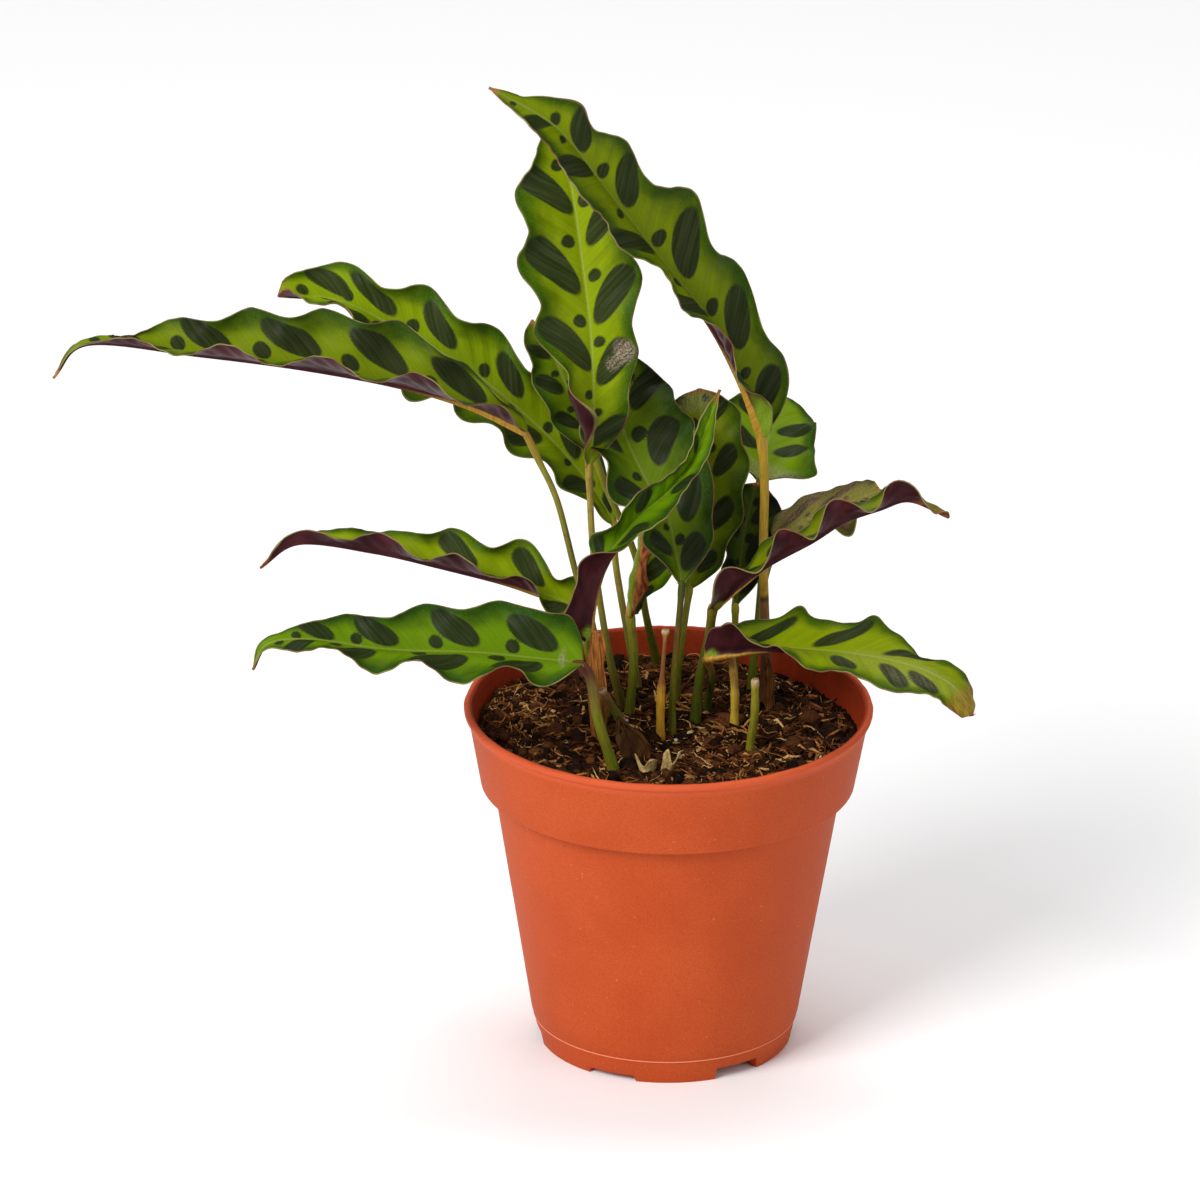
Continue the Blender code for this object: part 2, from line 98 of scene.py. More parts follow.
# The soil and what lies on it
SOIL_RADIUS = 48.9
SOIL_BASE_RADIUS = 46.6
SOIL_LEVEL = 85.2
SOIL_CELL = 0.5
SOIL_TILT = 0.03  # the soil lies higher on the left
SOIL_EDGE = (42.0, 7.0)  # beyond this radius it sinks, by its full drop this much further out
SOIL_FLOOR = 74.0
FIBRE_REACH = 47.2  # a fibre stays within this radius
FIBRE_TAPER = np.array([0.35, 0.8, 1, 1, 0.95, 0.7, 0.3])  # from end to end
FIBRE_SIDES = 5

# The floor, the lights as (name, place in m, size in m, watts), and the camera, a long lens far away
FLOOR_REACH = 6000.0
LIGHTS = (("key", (-1.0, -1.1, 1.2), 0.9, 31.0), ("fill", (1.3, -0.9, 0.9), 1.0, 5.0),
          ("top", (0.1, 0.5, 1.6), 0.9, 11.0))
LIGHT_AIM = (0, 0, 0.1)
WORLD_STRENGTH = 0.36
CAMERA_AIM = (-17.867, 0.0, 120.944)
CAMERA_ELEVATION = 23.0
CAMERA_ROLL = 0.6
CAMERA_DISTANCE = 4000.0
CAMERA_LENS = 468.75

# The first seed of each kind of piece
LITTER_SEED, LEAF_SEED, STUB_SEED, SHEATH_SEED = 11, 100, 300, 400

# One row per leaf.  A pair is for the left and the right half, and t runs from 0 at a
# blade's base to 1 at its tip.
# stalk: from the soil to the blade.  stout: the stalk's radius.
# midrib: from the blade's base to its tip.  turn: degrees about the midrib away from
# facing FRONT, read from base to tip.  half_width: at the widest place.  shape: fullness
# of base and tip.  fold: degrees that a half rises from flat, read from base to tip.
# curl: degrees that both margins rise further.  curls: where one margin curls up further,
# as (t, degrees, length, power); a higher power keeps the curl nearer the margin.
# bulges: where a margin stands out further, as (t, mm, length).
# waves, depth, phase: the margin's waves.  lobe: how far they draw the margin in, per unit
# of their height.
# marks: t of the large marks.  mark_slant: their degrees from the midrib.  mark_long,
# mark_wide: their size.  mark_kinds: 2, or 1 where no small dot follows a large mark.
# bare: width of the bare rib under the blade.  tip_dry: how far the tip is dried.
# dry, grey, fresh: brown places, scuffs with painted sheen, green backs, as (t, across, length, width,
# amount).
# tone: the brightness, partly painted shade and light, the yellowness and the width of the dark edge.
USUAL = dict(
    stout=0.88, curl=0, curls=([], []), bulges=([], []), waves=(3.0, 3.0), phase=(0.0, 0.25),
    lobe=(0.5, 0.5), mark_slant=28, mark_long=(1, 1), mark_wide=(1, 1), mark_kinds=2, bare=1.0,
    tip_dry=0.6, dry=[], grey=[], fresh=[])
LEAVES = {
    "tall_arching": dict(
        stout=1.15, stalk=[(25, 18), (25, 19, 99), (24, 18, 125), (24, 18, 147), (23, 17, 159)],
        midrib=[(23, 17, 160), (17, 13, 178), (9, 9, 195), (-3, 4, 213), (-17, -2, 234), (-30, -7, 253),
                (-47, -10, 265)],
        turn=[-52, -50, -35, -18, -15], half_width=(13.3, 13.5), shape=(0.5, 0.85),
        fold=([70, 40, 38, 38, 30], [42, 40, 30, 20, 20]),
        bulges=([(0.34, -4.2, 0.05), (0.71, 4.5, 0.05), (0.88, 3.2, 0.05)],
                [(0.07, 2.5, 0.05), (0.52, 3.0, 0.08), (0.84, 3.5, 0.03), (0.93, -1.8, 0.03)]),
        waves=(4.9, 5.0), depth=(1.8, 2.6), phase=(0.85, 0.15), lobe=(0.5, 0.75),
        marks=((0.16, 0.36, 0.56, 0.765, 0.89), (0.09, 0.255, 0.45, 0.65, 0.80)), mark_long=(1.3, 1.0),
        mark_wide=(0.85, 1.05), fresh=[(0.0, 0.7, 0.13, 0.7, 1.0)], tone=(0.85, 0.85, 0.45)),
    "tall_upright": dict(
        stout=0.85, stalk=[(-12, 11), (-15, 9, 100), (-18, 8, 118), (-20, 8, 134), (-21, 9, 153)],
        midrib=[(-21, 9, 154), (-20, 10, 168), (-21, 12, 190), (-23, 14, 206), (-26, 15, 227),
                (-30, 16, 245)],
        turn=[-20, -5, 0], half_width=(16.0, 14.0), shape=(0.85, 0.5), fold=([35, 20, 18], [5, 18, 18]),
        curls=([(0.18, 120, 0.1, 4)], []), bulges=([(0.16, 3.5, 0.1)], [(0.14, 2.8, 0.1)]),
        waves=(4.7, 4.6), depth=(2.2, 2.0), phase=(-0.2, 0.3),
        marks=((0.16, 0.375, 0.61, 0.835), (0.105, 0.31, 0.50, 0.72, 0.88)), mark_slant=33,
        mark_long=(1.22, 1.05), mark_wide=(0.82, 0.9),
        grey=[(0.335, -0.72, 0.045, 0.26, 0.8), (0.30, -0.5, 0.025, 0.2, 0.5)], tone=(1.02, 0.85, 0.5)),
    "long_left": dict(
        stout=0.8,
        stalk=[(-16, 4), (-18, 2, 102), (-20, 1, 115), (-24, 0, 128), (-29, -2, 149), (-34, -3, 161),
               (-37, -4, 168)],
        midrib=[(-37, -4, 169), (-52, -8, 178), (-70, -12, 185), (-94, -16, 191), (-120, -18, 195),
                (-148, -19, 198), (-157, -20, 189)],
        turn=[-58], half_width=(15.5, 16.0), shape=(0.65, 1.25), fold=([37], [37]),
        bulges=([], [(0.13, -4.5, 0.1), (0.85, -2.7, 0.08)]), waves=(5.5, 6.75), depth=(2.2, 3.0),
        phase=(0.72, 0.78), lobe=(0.5, 0.85),
        marks=((0.1, 0.26, 0.43, 0.6, 0.77), (0.165, 0.33, 0.505, 0.67, 0.83)), tone=(0.82, 0.8, 0.4)),
    "back_left": dict(
        stalk=[(-8, 25), (-11, 27, 102), (-14, 28, 120), (-14, 28, 129)],
        midrib=[(-14, 28, 130), (-22, 28, 143), (-34, 28, 157), (-51, 28, 172), (-70, 27, 184),
                (-85, 26, 192), (-101, 25, 194)],
        turn=[-20, -15, -5, -30], half_width=(12.5, 12.0), shape=(0.7, 0.35), fold=([18, 18, 30, 70], [18]),
        bulges=([(0.62, 3.5, 0.06)], [(0.8, -2.4, 0.05), (0.9, -1.5, 0.05)]), waves=(6.5, 5.5),
        depth=(2.0, 2.6), phase=(0.7, 0.95),
        marks=((0.14, 0.33, 0.53, 0.70, 0.835), (0.06, 0.23, 0.43, 0.625, 0.79, 0.89)), tip_dry=0.2,
        tone=(1.0, 0.75, 0.4)),
    "small_back": dict(
        stalk=[(-3, 39), (-6, 31, 104), (-9, 23, 124), (-17, 22, 144), (-20, 24, 152)],
        midrib=[(-20, 24, 153), (-25, 22, 166), (-31, 19, 182), (-36, 17, 191)], turn=[10],
        half_width=(7.5, 3.5), shape=(0.5, 0.5), fold=([15], [15]), depth=(1.0, 1.0),
        marks=((0.26, 0.535, 0.79), (0.2, 0.45, 0.7)), tone=(0.85, 0.5, 0.5)),
    "broad_centre": dict(
        stout=0.8, stalk=[(1, -4), (1, -4, 97), (2, -4, 112), (3, -3, 126)],
        midrib=[(3, -3, 127), (-1, 2, 144), (-6, 8, 150), (-12, 17, 160), (-14, 24, 169), (-14, 30, 177)],
        turn=[0, -20, -15], half_width=(11.5, 17.0), shape=(0.7, 0.5), fold=([35, 20, 0], [15]),
        waves=(4.0, 4.0), depth=(2.0, 2.0), marks=((0.18, 0.42, 0.66), (0.12, 0.33, 0.59, 0.85)),
        mark_long=(0.8, 0.75), mark_wide=(0.8, 0.85), tone=(0.7, 0.5, 0.6)),
    "twisted_front": dict(
        stalk=[(-17, -4), (-19, -10, 103), (-21, -14, 115)],
        midrib=[(-21, -14, 116), (-20, -13, 125), (-18, -12, 133), (-15, -11, 139), (-8, -9, 148),
                (0, -7, 155), (6, -6, 164), (12, -4, 181)],
        turn=[120, 110, 15, 0, 0, 0], half_width=(7.0, 9.0), shape=(0.35, 0.75),
        fold=([20, 30, 55, 50, 45], [20, 40, 60, 50, 45]),
        bulges=([(0.4, -1.6, 0.05), (0.62, -1.8, 0.06)],
                [(0.06, 2.0, 0.05), (0.2, -2.5, 0.06), (0.32, 2.5, 0.05), (0.43, -1.5, 0.04),
                 (0.8, -1.3, 0.12)]),
        depth=(1.2, 1.2), marks=((0.12, 0.30, 0.52, 0.8), (0.2, 0.42, 0.66)), mark_kinds=1, bare=0.05,
        dry=[(1.0, 0.0, 0.05, 2.0, 0.4)], tone=(0.86, 0.2, 0.55)),
    "rolled_centre": dict(
        stout=1.15, stalk=[(-10, 7), (-9, 8, 101), (-10, 9, 112)],
        midrib=[(-10, 9, 113), (-9, 9, 123), (-7, 9, 134), (-5, 10, 143), (-3, 12, 152)], turn=[-20],
        half_width=(8.5, 10.0), shape=(0.5, 0.6), fold=([35], [20]), curls=([(0.3, 190, 0.8, 1.5)], []),
        bulges=([], [(0.12, -3.5, 0.12)]), depth=(0.8, 1.0), marks=((), (0.12, 0.36, 0.62, 0.85)),
        mark_kinds=1, dry=[(0.5, 1.0, 0.9, 0.42, 1.0)], fresh=[(0.1, 0.4, 0.6, 0.8, 1.0)],
        tone=(1.25, 0.6, 0.3)),
    "inner_right": dict(
        stalk=[(2, 19), (3, 19, 99), (5, 20, 115)],
        midrib=[(5, 20, 116), (7, 22, 129), (8, 25, 141), (8, 28, 154), (7, 31, 167)], turn=[-10],
        half_width=(11.5, 11.5), shape=(0.6, 0.4), fold=([15], [15]), waves=(4.0, 4.0), depth=(1.5, 1.5),
        marks=((0.26, 0.52, 0.78), (0.15, 0.39, 0.65, 0.90)), mark_long=(0.8, 0.75), mark_wide=(0.85, 0.8),
        grey=[(1.0, 0.2, 0.12, 0.9, 0.35)], tone=(0.82, 0.9, 0.5)),
    "shaded_right": dict(
        stalk=[(17, 24), (17, 23, 98), (17, 20, 110)],
        midrib=[(17, 20, 111), (18, 24, 120), (19, 27, 129), (22, 31, 141)], turn=[-15],
        half_width=(6.0, 9.0), shape=(0.9, 0.5), fold=([5], [5]), depth=(1.5, 1.5),
        marks=((0.3, 0.65), (0.2, 0.5, 0.8)), tone=(0.5, 0.3, 0.8)),
    "far_right": dict(
        stalk=[(21.5, 27), (23, 29, 104), (24, 34, 122), (23, 36, 139)],
        midrib=[(23, 36, 140), (25, 48, 146), (27, 64, 152)], turn=[-10], half_width=(14.0, 14.0),
        shape=(0.4, 0.5), fold=([10], [10]), bulges=([], [(0.5, -2.4, 0.12), (0.2, 1.5, 0.06)]),
        depth=(1.5, 1.2), marks=((0.35, 0.7), (0.36, 0.6)), mark_slant=72, mark_long=(0.62, 0.62),
        mark_wide=(0.62, 0.62), mark_kinds=1, grey=[(0.04, 0.0, 0.14, 1.2, 0.4)], tone=(0.95, 0.5, 0.35)),
    "grey_right": dict(
        stalk=[(25, 23.5), (24.6, 22.5, 104), (24.2, 21.7, 116), (27, 22, 127)],
        midrib=[(27, 22, 128), (33, 23, 133), (43, 25, 137), (54, 27, 141)], turn=[60],
        half_width=(10.0, 8.5), shape=(0.3, 0.3), fold=([5], [-10]),
        bulges=([(0.1, 2.0, 0.08), (0.75, -1.8, 0.1)], [(0.3, -3.5, 0.07), (0.85, -3.0, 0.1)]),
        depth=(0.8, 2.5), phase=(0.0, -0.11), marks=((0.3, 0.65), (0.2, 0.5, 0.8)), mark_long=(1.3, 1.2),
        mark_wide=(0.6, 0.6), dry=[(0.45, 0.2, 0.75, 1.3, 0.12)], grey=[(0.45, 0.3, 0.6, 1.1, 0.2)],
        tone=(0.68, 1.0, 0.6)),
    "wavy_right": dict(
        stout=1.2, stalk=[(7, 4), (8, 4, 98), (10, 2, 109), (11, -3, 120)],
        midrib=[(11, -4, 121), (18, -5, 128), (25, -5, 134), (36, -4, 140), (44, -3, 145), (53, -2, 148),
                (61, -1, 150), (71, 0, 145)],
        turn=[85], half_width=(9.0, 9.0), shape=(0.38, 0.5), fold=([24], [24]),
        bulges=([(0.06, 2.0, 0.06)], [(0.05, 4.5, 0.04), (0.11, 3.5, 0.04)]), waves=(4.0, 4.6),
        depth=(2.2, 4.0), phase=(0.05, 0.55), marks=((0.12, 0.34, 0.57, 0.8), (0.2, 0.45, 0.7)), bare=0.3,
        dry=[(0.97, 0.0, 0.12, 1.5, 0.35)], tone=(0.8, 1.0, 0.45)),
    "low_right": dict(
        stalk=[(10, 12), (11, 8, 94), (11, 3, 100), (9.5, -1, 105)],
        midrib=[(9.5, -2, 106), (17, -4, 108.5), (26, -7, 111), (46, -19, 115), (61, -26, 115),
                (71, -29, 111.5), (75.5, -31, 107), (77, -32, 103.5)],
        turn=[50], half_width=(10.5, 10.5), shape=(0.3, 0.26),
        fold=([10, 10, 0, -20], [110, 78, 38, 15, 5, 0, -5, -5]),
        bulges=([(0.12, 2.0, 0.06), (0.26, 5.0, 0.05), (0.535, 4.0, 0.05), (0.75, -4.5, 0.07),
                 (0.93, 1.5, 0.04)],
                [(0.06, 2.0, 0.04), (0.14, 5.5, 0.04), (0.4, -2.0, 0.08), (0.6, 1.5, 0.05),
                 (0.97, -2.5, 0.05)]),
        waves=(3.7, 3.7), depth=(1.0, 1.2), phase=(0.1, 0.11),
        marks=((0.2, 0.46, 0.71), (0.235, 0.53, 0.7, 0.8)), mark_long=(1.25, 0.85), mark_wide=(0.8, 0.75),
        mark_kinds=1, bare=0.4, dry=[(1.0, 0.0, 0.1, 2.0, 0.45)], grey=[(0.75, -0.2, 0.3, 0.5, 0.12)],
        tone=(0.92, 0.9, 0.3)),
    "low_left": dict(
        stout=1.3, stalk=[(-14, -30), (-18, -31, 101), (-20, -31, 112), (-22, -30, 115)],
        midrib=[(-22, -30, 116), (-37, -31, 118), (-50, -33, 120), (-72, -34, 121), (-91, -35, 124),
                (-102, -36, 123), (-106, -36, 116)],
        turn=[-39], half_width=(14.5, 12.7), shape=(0.34, 1.0), fold=([29], [29]),
        bulges=([(0.1, -2.0, 0.04), (0.7, 2.0, 0.05)],
                [(0.05, 1.5, 0.04), (0.14, 1.8, 0.06), (0.65, -1.2, 0.04), (0.87, -1.6, 0.05)]),
        waves=(4.1, 4.7), depth=(2.4, 2.2), phase=(0.27, 0.59), lobe=(0.5, 0.7),
        marks=((0.2, 0.42, 0.66, 0.82), (0.15, 0.37, 0.6, 0.77)), grey=[(0.06, 0.05, 0.01, 0.4, 0.6)],
        tone=(0.88, 0.3, 0.5)),
    "middle_left": dict(
        stalk=[(-18, 15), (-21, 7, 104), (-23, 4, 116)],
        midrib=[(-23, 4, 117), (-32, 3, 121), (-42, 2, 125), (-60, 1, 130), (-76, 0, 134), (-95, 0, 136),
                (-105, 0, 129)],
        turn=[-30, -60, -85, -95], half_width=(8.8, 10.0), shape=(0.4, 0.8),
        fold=([10, 45, 33, 33, 33], [43, 35, 33]), bulges=([(0.1, -3.5, 0.06)], []), waves=(4.5, 5.0),
        depth=(2.5, 3.0), phase=(0.4, 0.7), lobe=(0.5, 1.0),
        marks=((0.08, 0.28, 0.5, 0.7), (0.18, 0.39, 0.6, 0.8)), mark_kinds=1,
        dry=[(1.0, 0.0, 0.05, 2.0, 0.5)], tone=(1.0, 0.85, 0.4)),
}

# Stalks that were cut off, from the soil to the cut.
STUBS = {
    "tall_stub": [(-2, -8), (-2, -8, 98), (-1, -7, 116)],
    "right_stub": [(17, 3), (17, 3, 95), (16, 4, 105)],
    "front_stub": [(21, -13), (22, -13, 95), (22, -13, 105)],
    "left_stub": [(-11, -13), (-12.5, -14.5, 94), (-17.3, -20.5, 105)],
}
STUB_WITHERED = {"tall_stub": 0.56}  # from this share of its length a stub has dried thin

# Dry sheaths are shaped like small blades that curl round what they wrap.  bright: of their brown.
SHEATHS = {
    "dry_sheath_left": dict(
        midrib=[(-17.3, -10, 83.5), (-18.2, -15, 98), (-18.6, -18.5, 110), (-18.6, -20, 121)],
        bright=1.2, turn=[0], half_width=(3.8, 3.8), shape=(0.3, 0.3), fold=([-25], [-25]), curl=-55,
        waves=(2.0, 2.0), depth=(0.3, 0.3), phase=(0.0, 0.5)),
    "dry_flap_front": dict(
        midrib=[(-7, -20, 83.5), (-10, -20, 91), (-13, -19.5, 97)],
        bright=0.55, turn=[0], half_width=(4.0, 4.0), shape=(0.4, 0.8), fold=([20], [20]),
        waves=(1.0, 1.0), depth=(0.5, 0.5), phase=(0.0, 0.5)),
    "dry_sheath_right": dict(
        midrib=[(25.5, 14.5, 83.5), (25.5, 14.5, 93), (25, 14.5, 100)],
        bright=0.75, turn=[20], half_width=(2.4, 2.4), shape=(0.2, 0.5), fold=([-25], [-25]), curl=-60,
        waves=(1.0, 1.0), depth=(0.2, 0.2), phase=(0.0, 0.5)),
}

# Pale dried scraps: those that stand, as (x, y, height, width), and heaps, as (x, y, count, reach).
FLAKES = ((-5.6, -29.0, 5.5, 6.0), (-1.0, -29.5, 8.0, 4.2), (-12.5, -24, 3.5, 4.0))
SCRAP_HEAPS = ((-1, -31, 8, 8), (12, -3, 26, 7), (-6, 13, 12, 5), (1.5, 8, 12, 5), (6, -14, 8, 7))
# Heaps of coarse dry fibres, as (x, y, count, reach), and single straws, as (x, y, length, heading).
FIBRE_HEAPS = ((-38, 12, 60, 8), (-32, -4, 26, 7), (14, -10, 36, 8), (18, -24, 24, 7), (2, 14, 20, 7))
STRAWS = ((25.4, 32.3, 8.5, -0.1), (27.5, -17.5, 6.5, -0.1), (-20, 17, 6, 1.2), (33, 8, 5, 0.7),
          (-40, 8, 8, 0.5))

# Colours from 0 to 255, as (place, red, green, blue): a stalk's from its foot to the blade,
# a stub's from its foot to the cut, and the loose bits' from the darkest to the palest.
GREEN_STALK = ((0.0, 104, 96, 28), (0.25, 108, 118, 26), (0.8, 138, 138, 34), (1.0, 150, 146, 40))
STALK_COLOURS = {
    "tall_arching": ((0.0, 92, 52, 34), (0.24, 104, 64, 40), (0.37, 132, 92, 44), (0.385, 70, 44, 30),
                     (0.40, 176, 144, 44), (0.85, 198, 158, 50), (1.0, 190, 136, 44)),
    "tall_upright": ((0.0, 110, 90, 40), (0.3, 130, 124, 44), (0.8, 186, 164, 74), (0.93, 176, 150, 60),
                     (0.97, 170, 100, 44), (1.0, 150, 120, 50)),
    "long_left": ((0.0, 112, 88, 44), (0.3, 126, 120, 46), (0.8, 140, 134, 50), (0.88, 162, 128, 42),
                  (1.0, 164, 112, 42)),
    "back_left": ((0.0, 120, 84, 44), (0.25, 128, 122, 44), (0.7, 168, 152, 58), (1.0, 178, 140, 50)),
    "low_left": ((0.0, 96, 104, 22), (0.5, 116, 120, 24), (0.72, 116, 98, 34), (0.8, 96, 52, 34),
                 (1.0, 84, 50, 36)),
    "wavy_right": ((0.0, 78, 88, 20), (0.5, 92, 100, 24), (1.0, 130, 112, 34)),
    "broad_centre": ((0.0, 100, 96, 24), (0.35, 116, 118, 28), (0.62, 112, 84, 32), (0.7, 84, 84, 26),
                     (1.0, 78, 88, 26)),
    "low_right": ((0.0, 60, 78, 28), (0.5, 78, 100, 32), (0.85, 150, 100, 40), (1.0, 160, 96, 44)),
}
STUB_COLOURS = {
    "tall_stub": ((0.0, 150, 92, 28), (0.3, 206, 152, 40), (0.52, 210, 158, 48), (0.6, 150, 92, 44),
                  (0.9, 142, 90, 48), (1.0, 196, 140, 84)),
    "right_stub": ((0.0, 180, 140, 44), (0.3, 206, 174, 60), (0.8, 200, 160, 66), (1.0, 168, 112, 70)),
    "front_stub": ((0.0, 108, 108, 24), (0.5, 132, 130, 30), (0.9, 150, 140, 44), (1.0, 214, 186, 140)),
    "left_stub": ((0.0, 84, 98, 26), (0.6, 92, 106, 30), (0.8, 108, 84, 40), (1.0, 130, 90, 54)),
}
BIT_COLOURS = {
    "clod": ((0.0, 16, 9, 4), (0.6, 50, 27, 12), (1.0, 104, 60, 28)),
    "fibre": ((0.0, 44, 22, 10), (0.5, 106, 58, 26), (0.82, 178, 120, 58), (1.0, 222, 182, 116)),
    "chip": ((0.0, 50, 26, 12), (0.5, 112, 64, 30), (0.85, 184, 122, 62), (1.0, 226, 184, 122)),
    "grain": ((0.0, 190, 182, 168), (1.0, 236, 232, 222)),
    "scrap": ((0.0, 132, 94, 48), (0.5, 178, 150, 92), (1.0, 206, 190, 132)),
}


# ---------------------------------------------------------------- shader graphs

def linear(colour, factor=1.0):
    """A 0 to 255 colour, made brighter or darker, as the linear colour that a shader takes."""
    parts = [min(255, value * factor) / 255 for value in colour]
    return tuple(v / 12.92 if v <= 0.04045 else ((v + 0.055) / 1.055) ** 2.4 for v in parts) + (1.0,)


def between(first, second, part):
    """A 0 to 255 colour between two others."""
    return tuple(a + (b - a) * part for a, b in zip(first, second))


class Graph:
    """A material and short calls that add nodes to it."""

    def __init__(self, name, roughness, specular):
        self.material = bpy.data.materials.new(name)
        self.material.use_nodes = True
        self.tree = self.material.node_tree
        self.shader = self.tree.nodes["Principled BSDF"]
        self.shader.inputs["Roughness"].default_value = roughness
        self.shader.inputs["Specular IOR Level"].default_value = specular

    def put(self, socket, value):
        """Link an output to a socket, or set the socket to a number or colour."""
        if isinstance(value, bpy.types.NodeSocket):
            self.tree.links.new(value, socket)
        else:
            socket.default_value = value

    def node(self, kind, output, inputs, **settings):
        """One output of a new node that has these settings and inputs."""
        made = self.tree.nodes.new("ShaderNode" + kind)
        for key, value in settings.items():
            setattr(made, key, value)
        for key, value in inputs.items():
            self.put(made.inputs[key], value)
        return made.outputs[output]

    def attribute(self, name):
        """A number stored on the mesh's vertices."""
        return self.node("Attribute", "Fac", {}, attribute_name=name)

    def place(self):
        """The place on the object, in metres."""
        return self.node("TexCoord", "Object", {})

    def plus(self, first, second):
        """The sum of two numbers."""
        return self.node("Math", 0, {0: first, 1: second}, operation="ADD")

    def times(self, first, second):
        """The product of two numbers."""
        return self.node("Math", 0, {0: first, 1: second}, operation="MULTIPLY")

    def step(self, value, low, high, to_low=0.0, to_high=1.0):
        """A soft step of a value from low to high."""
        ends = {"Value": value, "From Min": low, "From Max": high, "To Min": to_low, "To Max": to_high}
        return self.node("MapRange", "Result", ends, interpolation_type="SMOOTHSTEP")

    def noise(self, vector, scale, detail=2.0, roughness=0.5):
        """A noise value between 0 and 1."""
        return self.node("TexNoise", "Fac", {"Vector": vector, "Scale": scale, "Detail": detail,
                                             "Roughness": roughness})

    def field(self, first, second, third, detail, roughness=0.5):
        """Noise over two stored numbers, each with its rate, at a third coordinate."""
        x, y = self.times(*first), self.times(*second)
        return self.noise(self.node("CombineXYZ", 0, {0: x, 1: y, 2: third}), 1.0, detail, roughness)

    def ragged(self, value, rough):
        """A value that a noise moves up and down by a quarter."""
        off = self.node("Math", 0, {0: rough, 1: 0.5}, operation="SUBTRACT")
        return self.plus(value, self.times(off, 0.5))

    def mix(self, amount, first, second, blend="MIX"):
        """Two linear colours or colour outputs mixed."""
        return self.node("Mix", 2, {0: amount, 6: first, 7: second}, data_type="RGBA", blend_type=blend)

    def shades(self, value, low, high, first, second, factor=1.0):
        """One 0 to 255 colour where a value is low and another where it is high."""
        return self.mix(self.step(value, low, high), linear(first, factor), linear(second, factor))

    def cover(self, colour, value, low, high, amount, over, factor=1.0, blend="MIX"):
        """A colour output with some of a 0 to 255 colour over it where a value is high."""
        return self.mix(self.step(value, low, high, 0.0, amount), colour, linear(over, factor), blend)

    def ramp(self, value, stops):
        """A colour read from stops of (place, red, green, blue)."""
        node = self.tree.nodes.new("ShaderNodeValToRGB")
        elements = node.color_ramp.elements
        while len(elements) < len(stops):
            elements.new(0.5)
        for element, stop in zip(elements, stops):  # places first, since they order the elements
            element.position = stop[0]
        for element, stop in zip(elements, stops):
            element.color = linear(stop[1:])
        self.put(node.inputs[0], value)
        return node.outputs[0]

    def finish(self, colour, roughness, height, distance, strength):
        """Link the shader's colour, roughness and bump; distance is the bump's size in mm."""
        bump = self.node("Bump", 0, {"Strength": strength, "Distance": distance * MM, "Height": height})
        for key, value in (("Base Color", colour), ("Roughness", roughness), ("Normal", bump)):
            self.put(self.shader.inputs[key], value)
        return self.material


def leaf_material(name, tone):
    """A blade's finish, from the numbers stored on its vertices."""
    # bright is partly painted shade and light: leaves that lie in shade are darkened, others lightened
    bright, yellow, edge = tone
    g = Graph(name, 0.42, 0.06)
    along, rib, margin, vein, mark, under, dry, grey, fresh, across = map(g.attribute, (
        "along", "rib", "margin", "vein", "mark", "under", "dry", "grey", "fresh", "across"))
    streaks = g.field((vein, 1.1), (rib, 0.07), 0.0, 3.0)
    broad = g.field((along, 0.11), (rib, 0.2), 5.0, 2.0)
    fine = g.field((along, 2.2), (rib, 2.2), 9.0, 4.0)

    # The show side: yellow-green inward, dark at the margin, with dark marks streaked with painted sheen,
    # and a pale midrib
    lime = between((98, 142, 6), (134, 148, 4), yellow)
    green = between((32, 70, 10), (48, 76, 5), yellow)
    blade = g.shades(g.ragged(across, broad), 0.85 - edge, 1.0, lime, green, bright)
    blade = g.cover(blade, streaks, 0.35, 0.75, 0.16, green, bright * 1.05)
    blade = g.cover(blade, fine, 0.5, 0.75, 0.14, lime, bright * 1.25)
    rough_mark = g.ragged(mark, fine)
    # painted sheen: the marks' paler streaks stand in for a greyish reflection
    dark = g.shades(streaks, 0.3, 0.75, (26, 38, 14), (54, 60, 34), bright)
    in_mark = g.step(rough_mark, -0.25, 0.3, 0.0, 0.96)
    blade = g.mix(in_mark, blade, dark)
    line = g.step(rib, 0.22, 0.5, 1.0, 0.0)
    blade = g.mix(g.times(line, g.step(fine, 0.2, 0.6, 0.5, 0.9)), blade, linear((142, 158, 62), bright))

    # The back: purple, green in fresh places, yellow-brown along the bare rib
    back = g.shades(broad, 0.3, 0.7, (50, 20, 24), (72, 32, 36))
    back = g.cover(back, streaks, 0.35, 0.75, 0.4, (40, 18, 20))
    back = g.mix(fresh, back, g.shades(fine, 0.3, 0.7, (100, 130, 24), (132, 156, 44)))
    bare = g.attribute("bare")
    back = g.mix(bare, back, g.shades(streaks, 0.3, 0.7, (168, 116, 40), (188, 152, 60)))

    # Both sides: a pale worn edge, scuffs with painted sheen, and dried places
    colour = g.mix(under, blade, back)
    pale = g.shades(broad, 0.4, 0.6, (150, 138, 84), (126, 84, 60))
    colour = g.mix(g.step(margin, 0.1, 0.34, 0.7, 0.0), colour, pale)
    # grey places: partly scuffs, partly painted sheen where the leaf shows a greyish reflection
    scuff_and_sheen = g.times(grey, g.step(g.plus(streaks, fine), 0.6, 1.25))
    colour = g.mix(scuff_and_sheen, colour, g.shades(fine, 0.35, 0.65, (126, 100, 80), (182, 168, 146)))
    crinkle = g.field((along, 0.25), (rib, 1.1), 3.0, 3.0)
    colour = g.mix(dry, colour, g.shades(crinkle, 0.35, 0.65, (104, 46, 24), (190, 116, 66)))

    rough = g.step(g.plus(in_mark, under), 0.0, 1.0, 0.46, 0.4)
    rough = g.plus(rough, g.times(dry, 0.4))
    return g.finish(colour, rough, g.plus(streaks, g.times(fine, 0.25)), 0.16, 0.8)


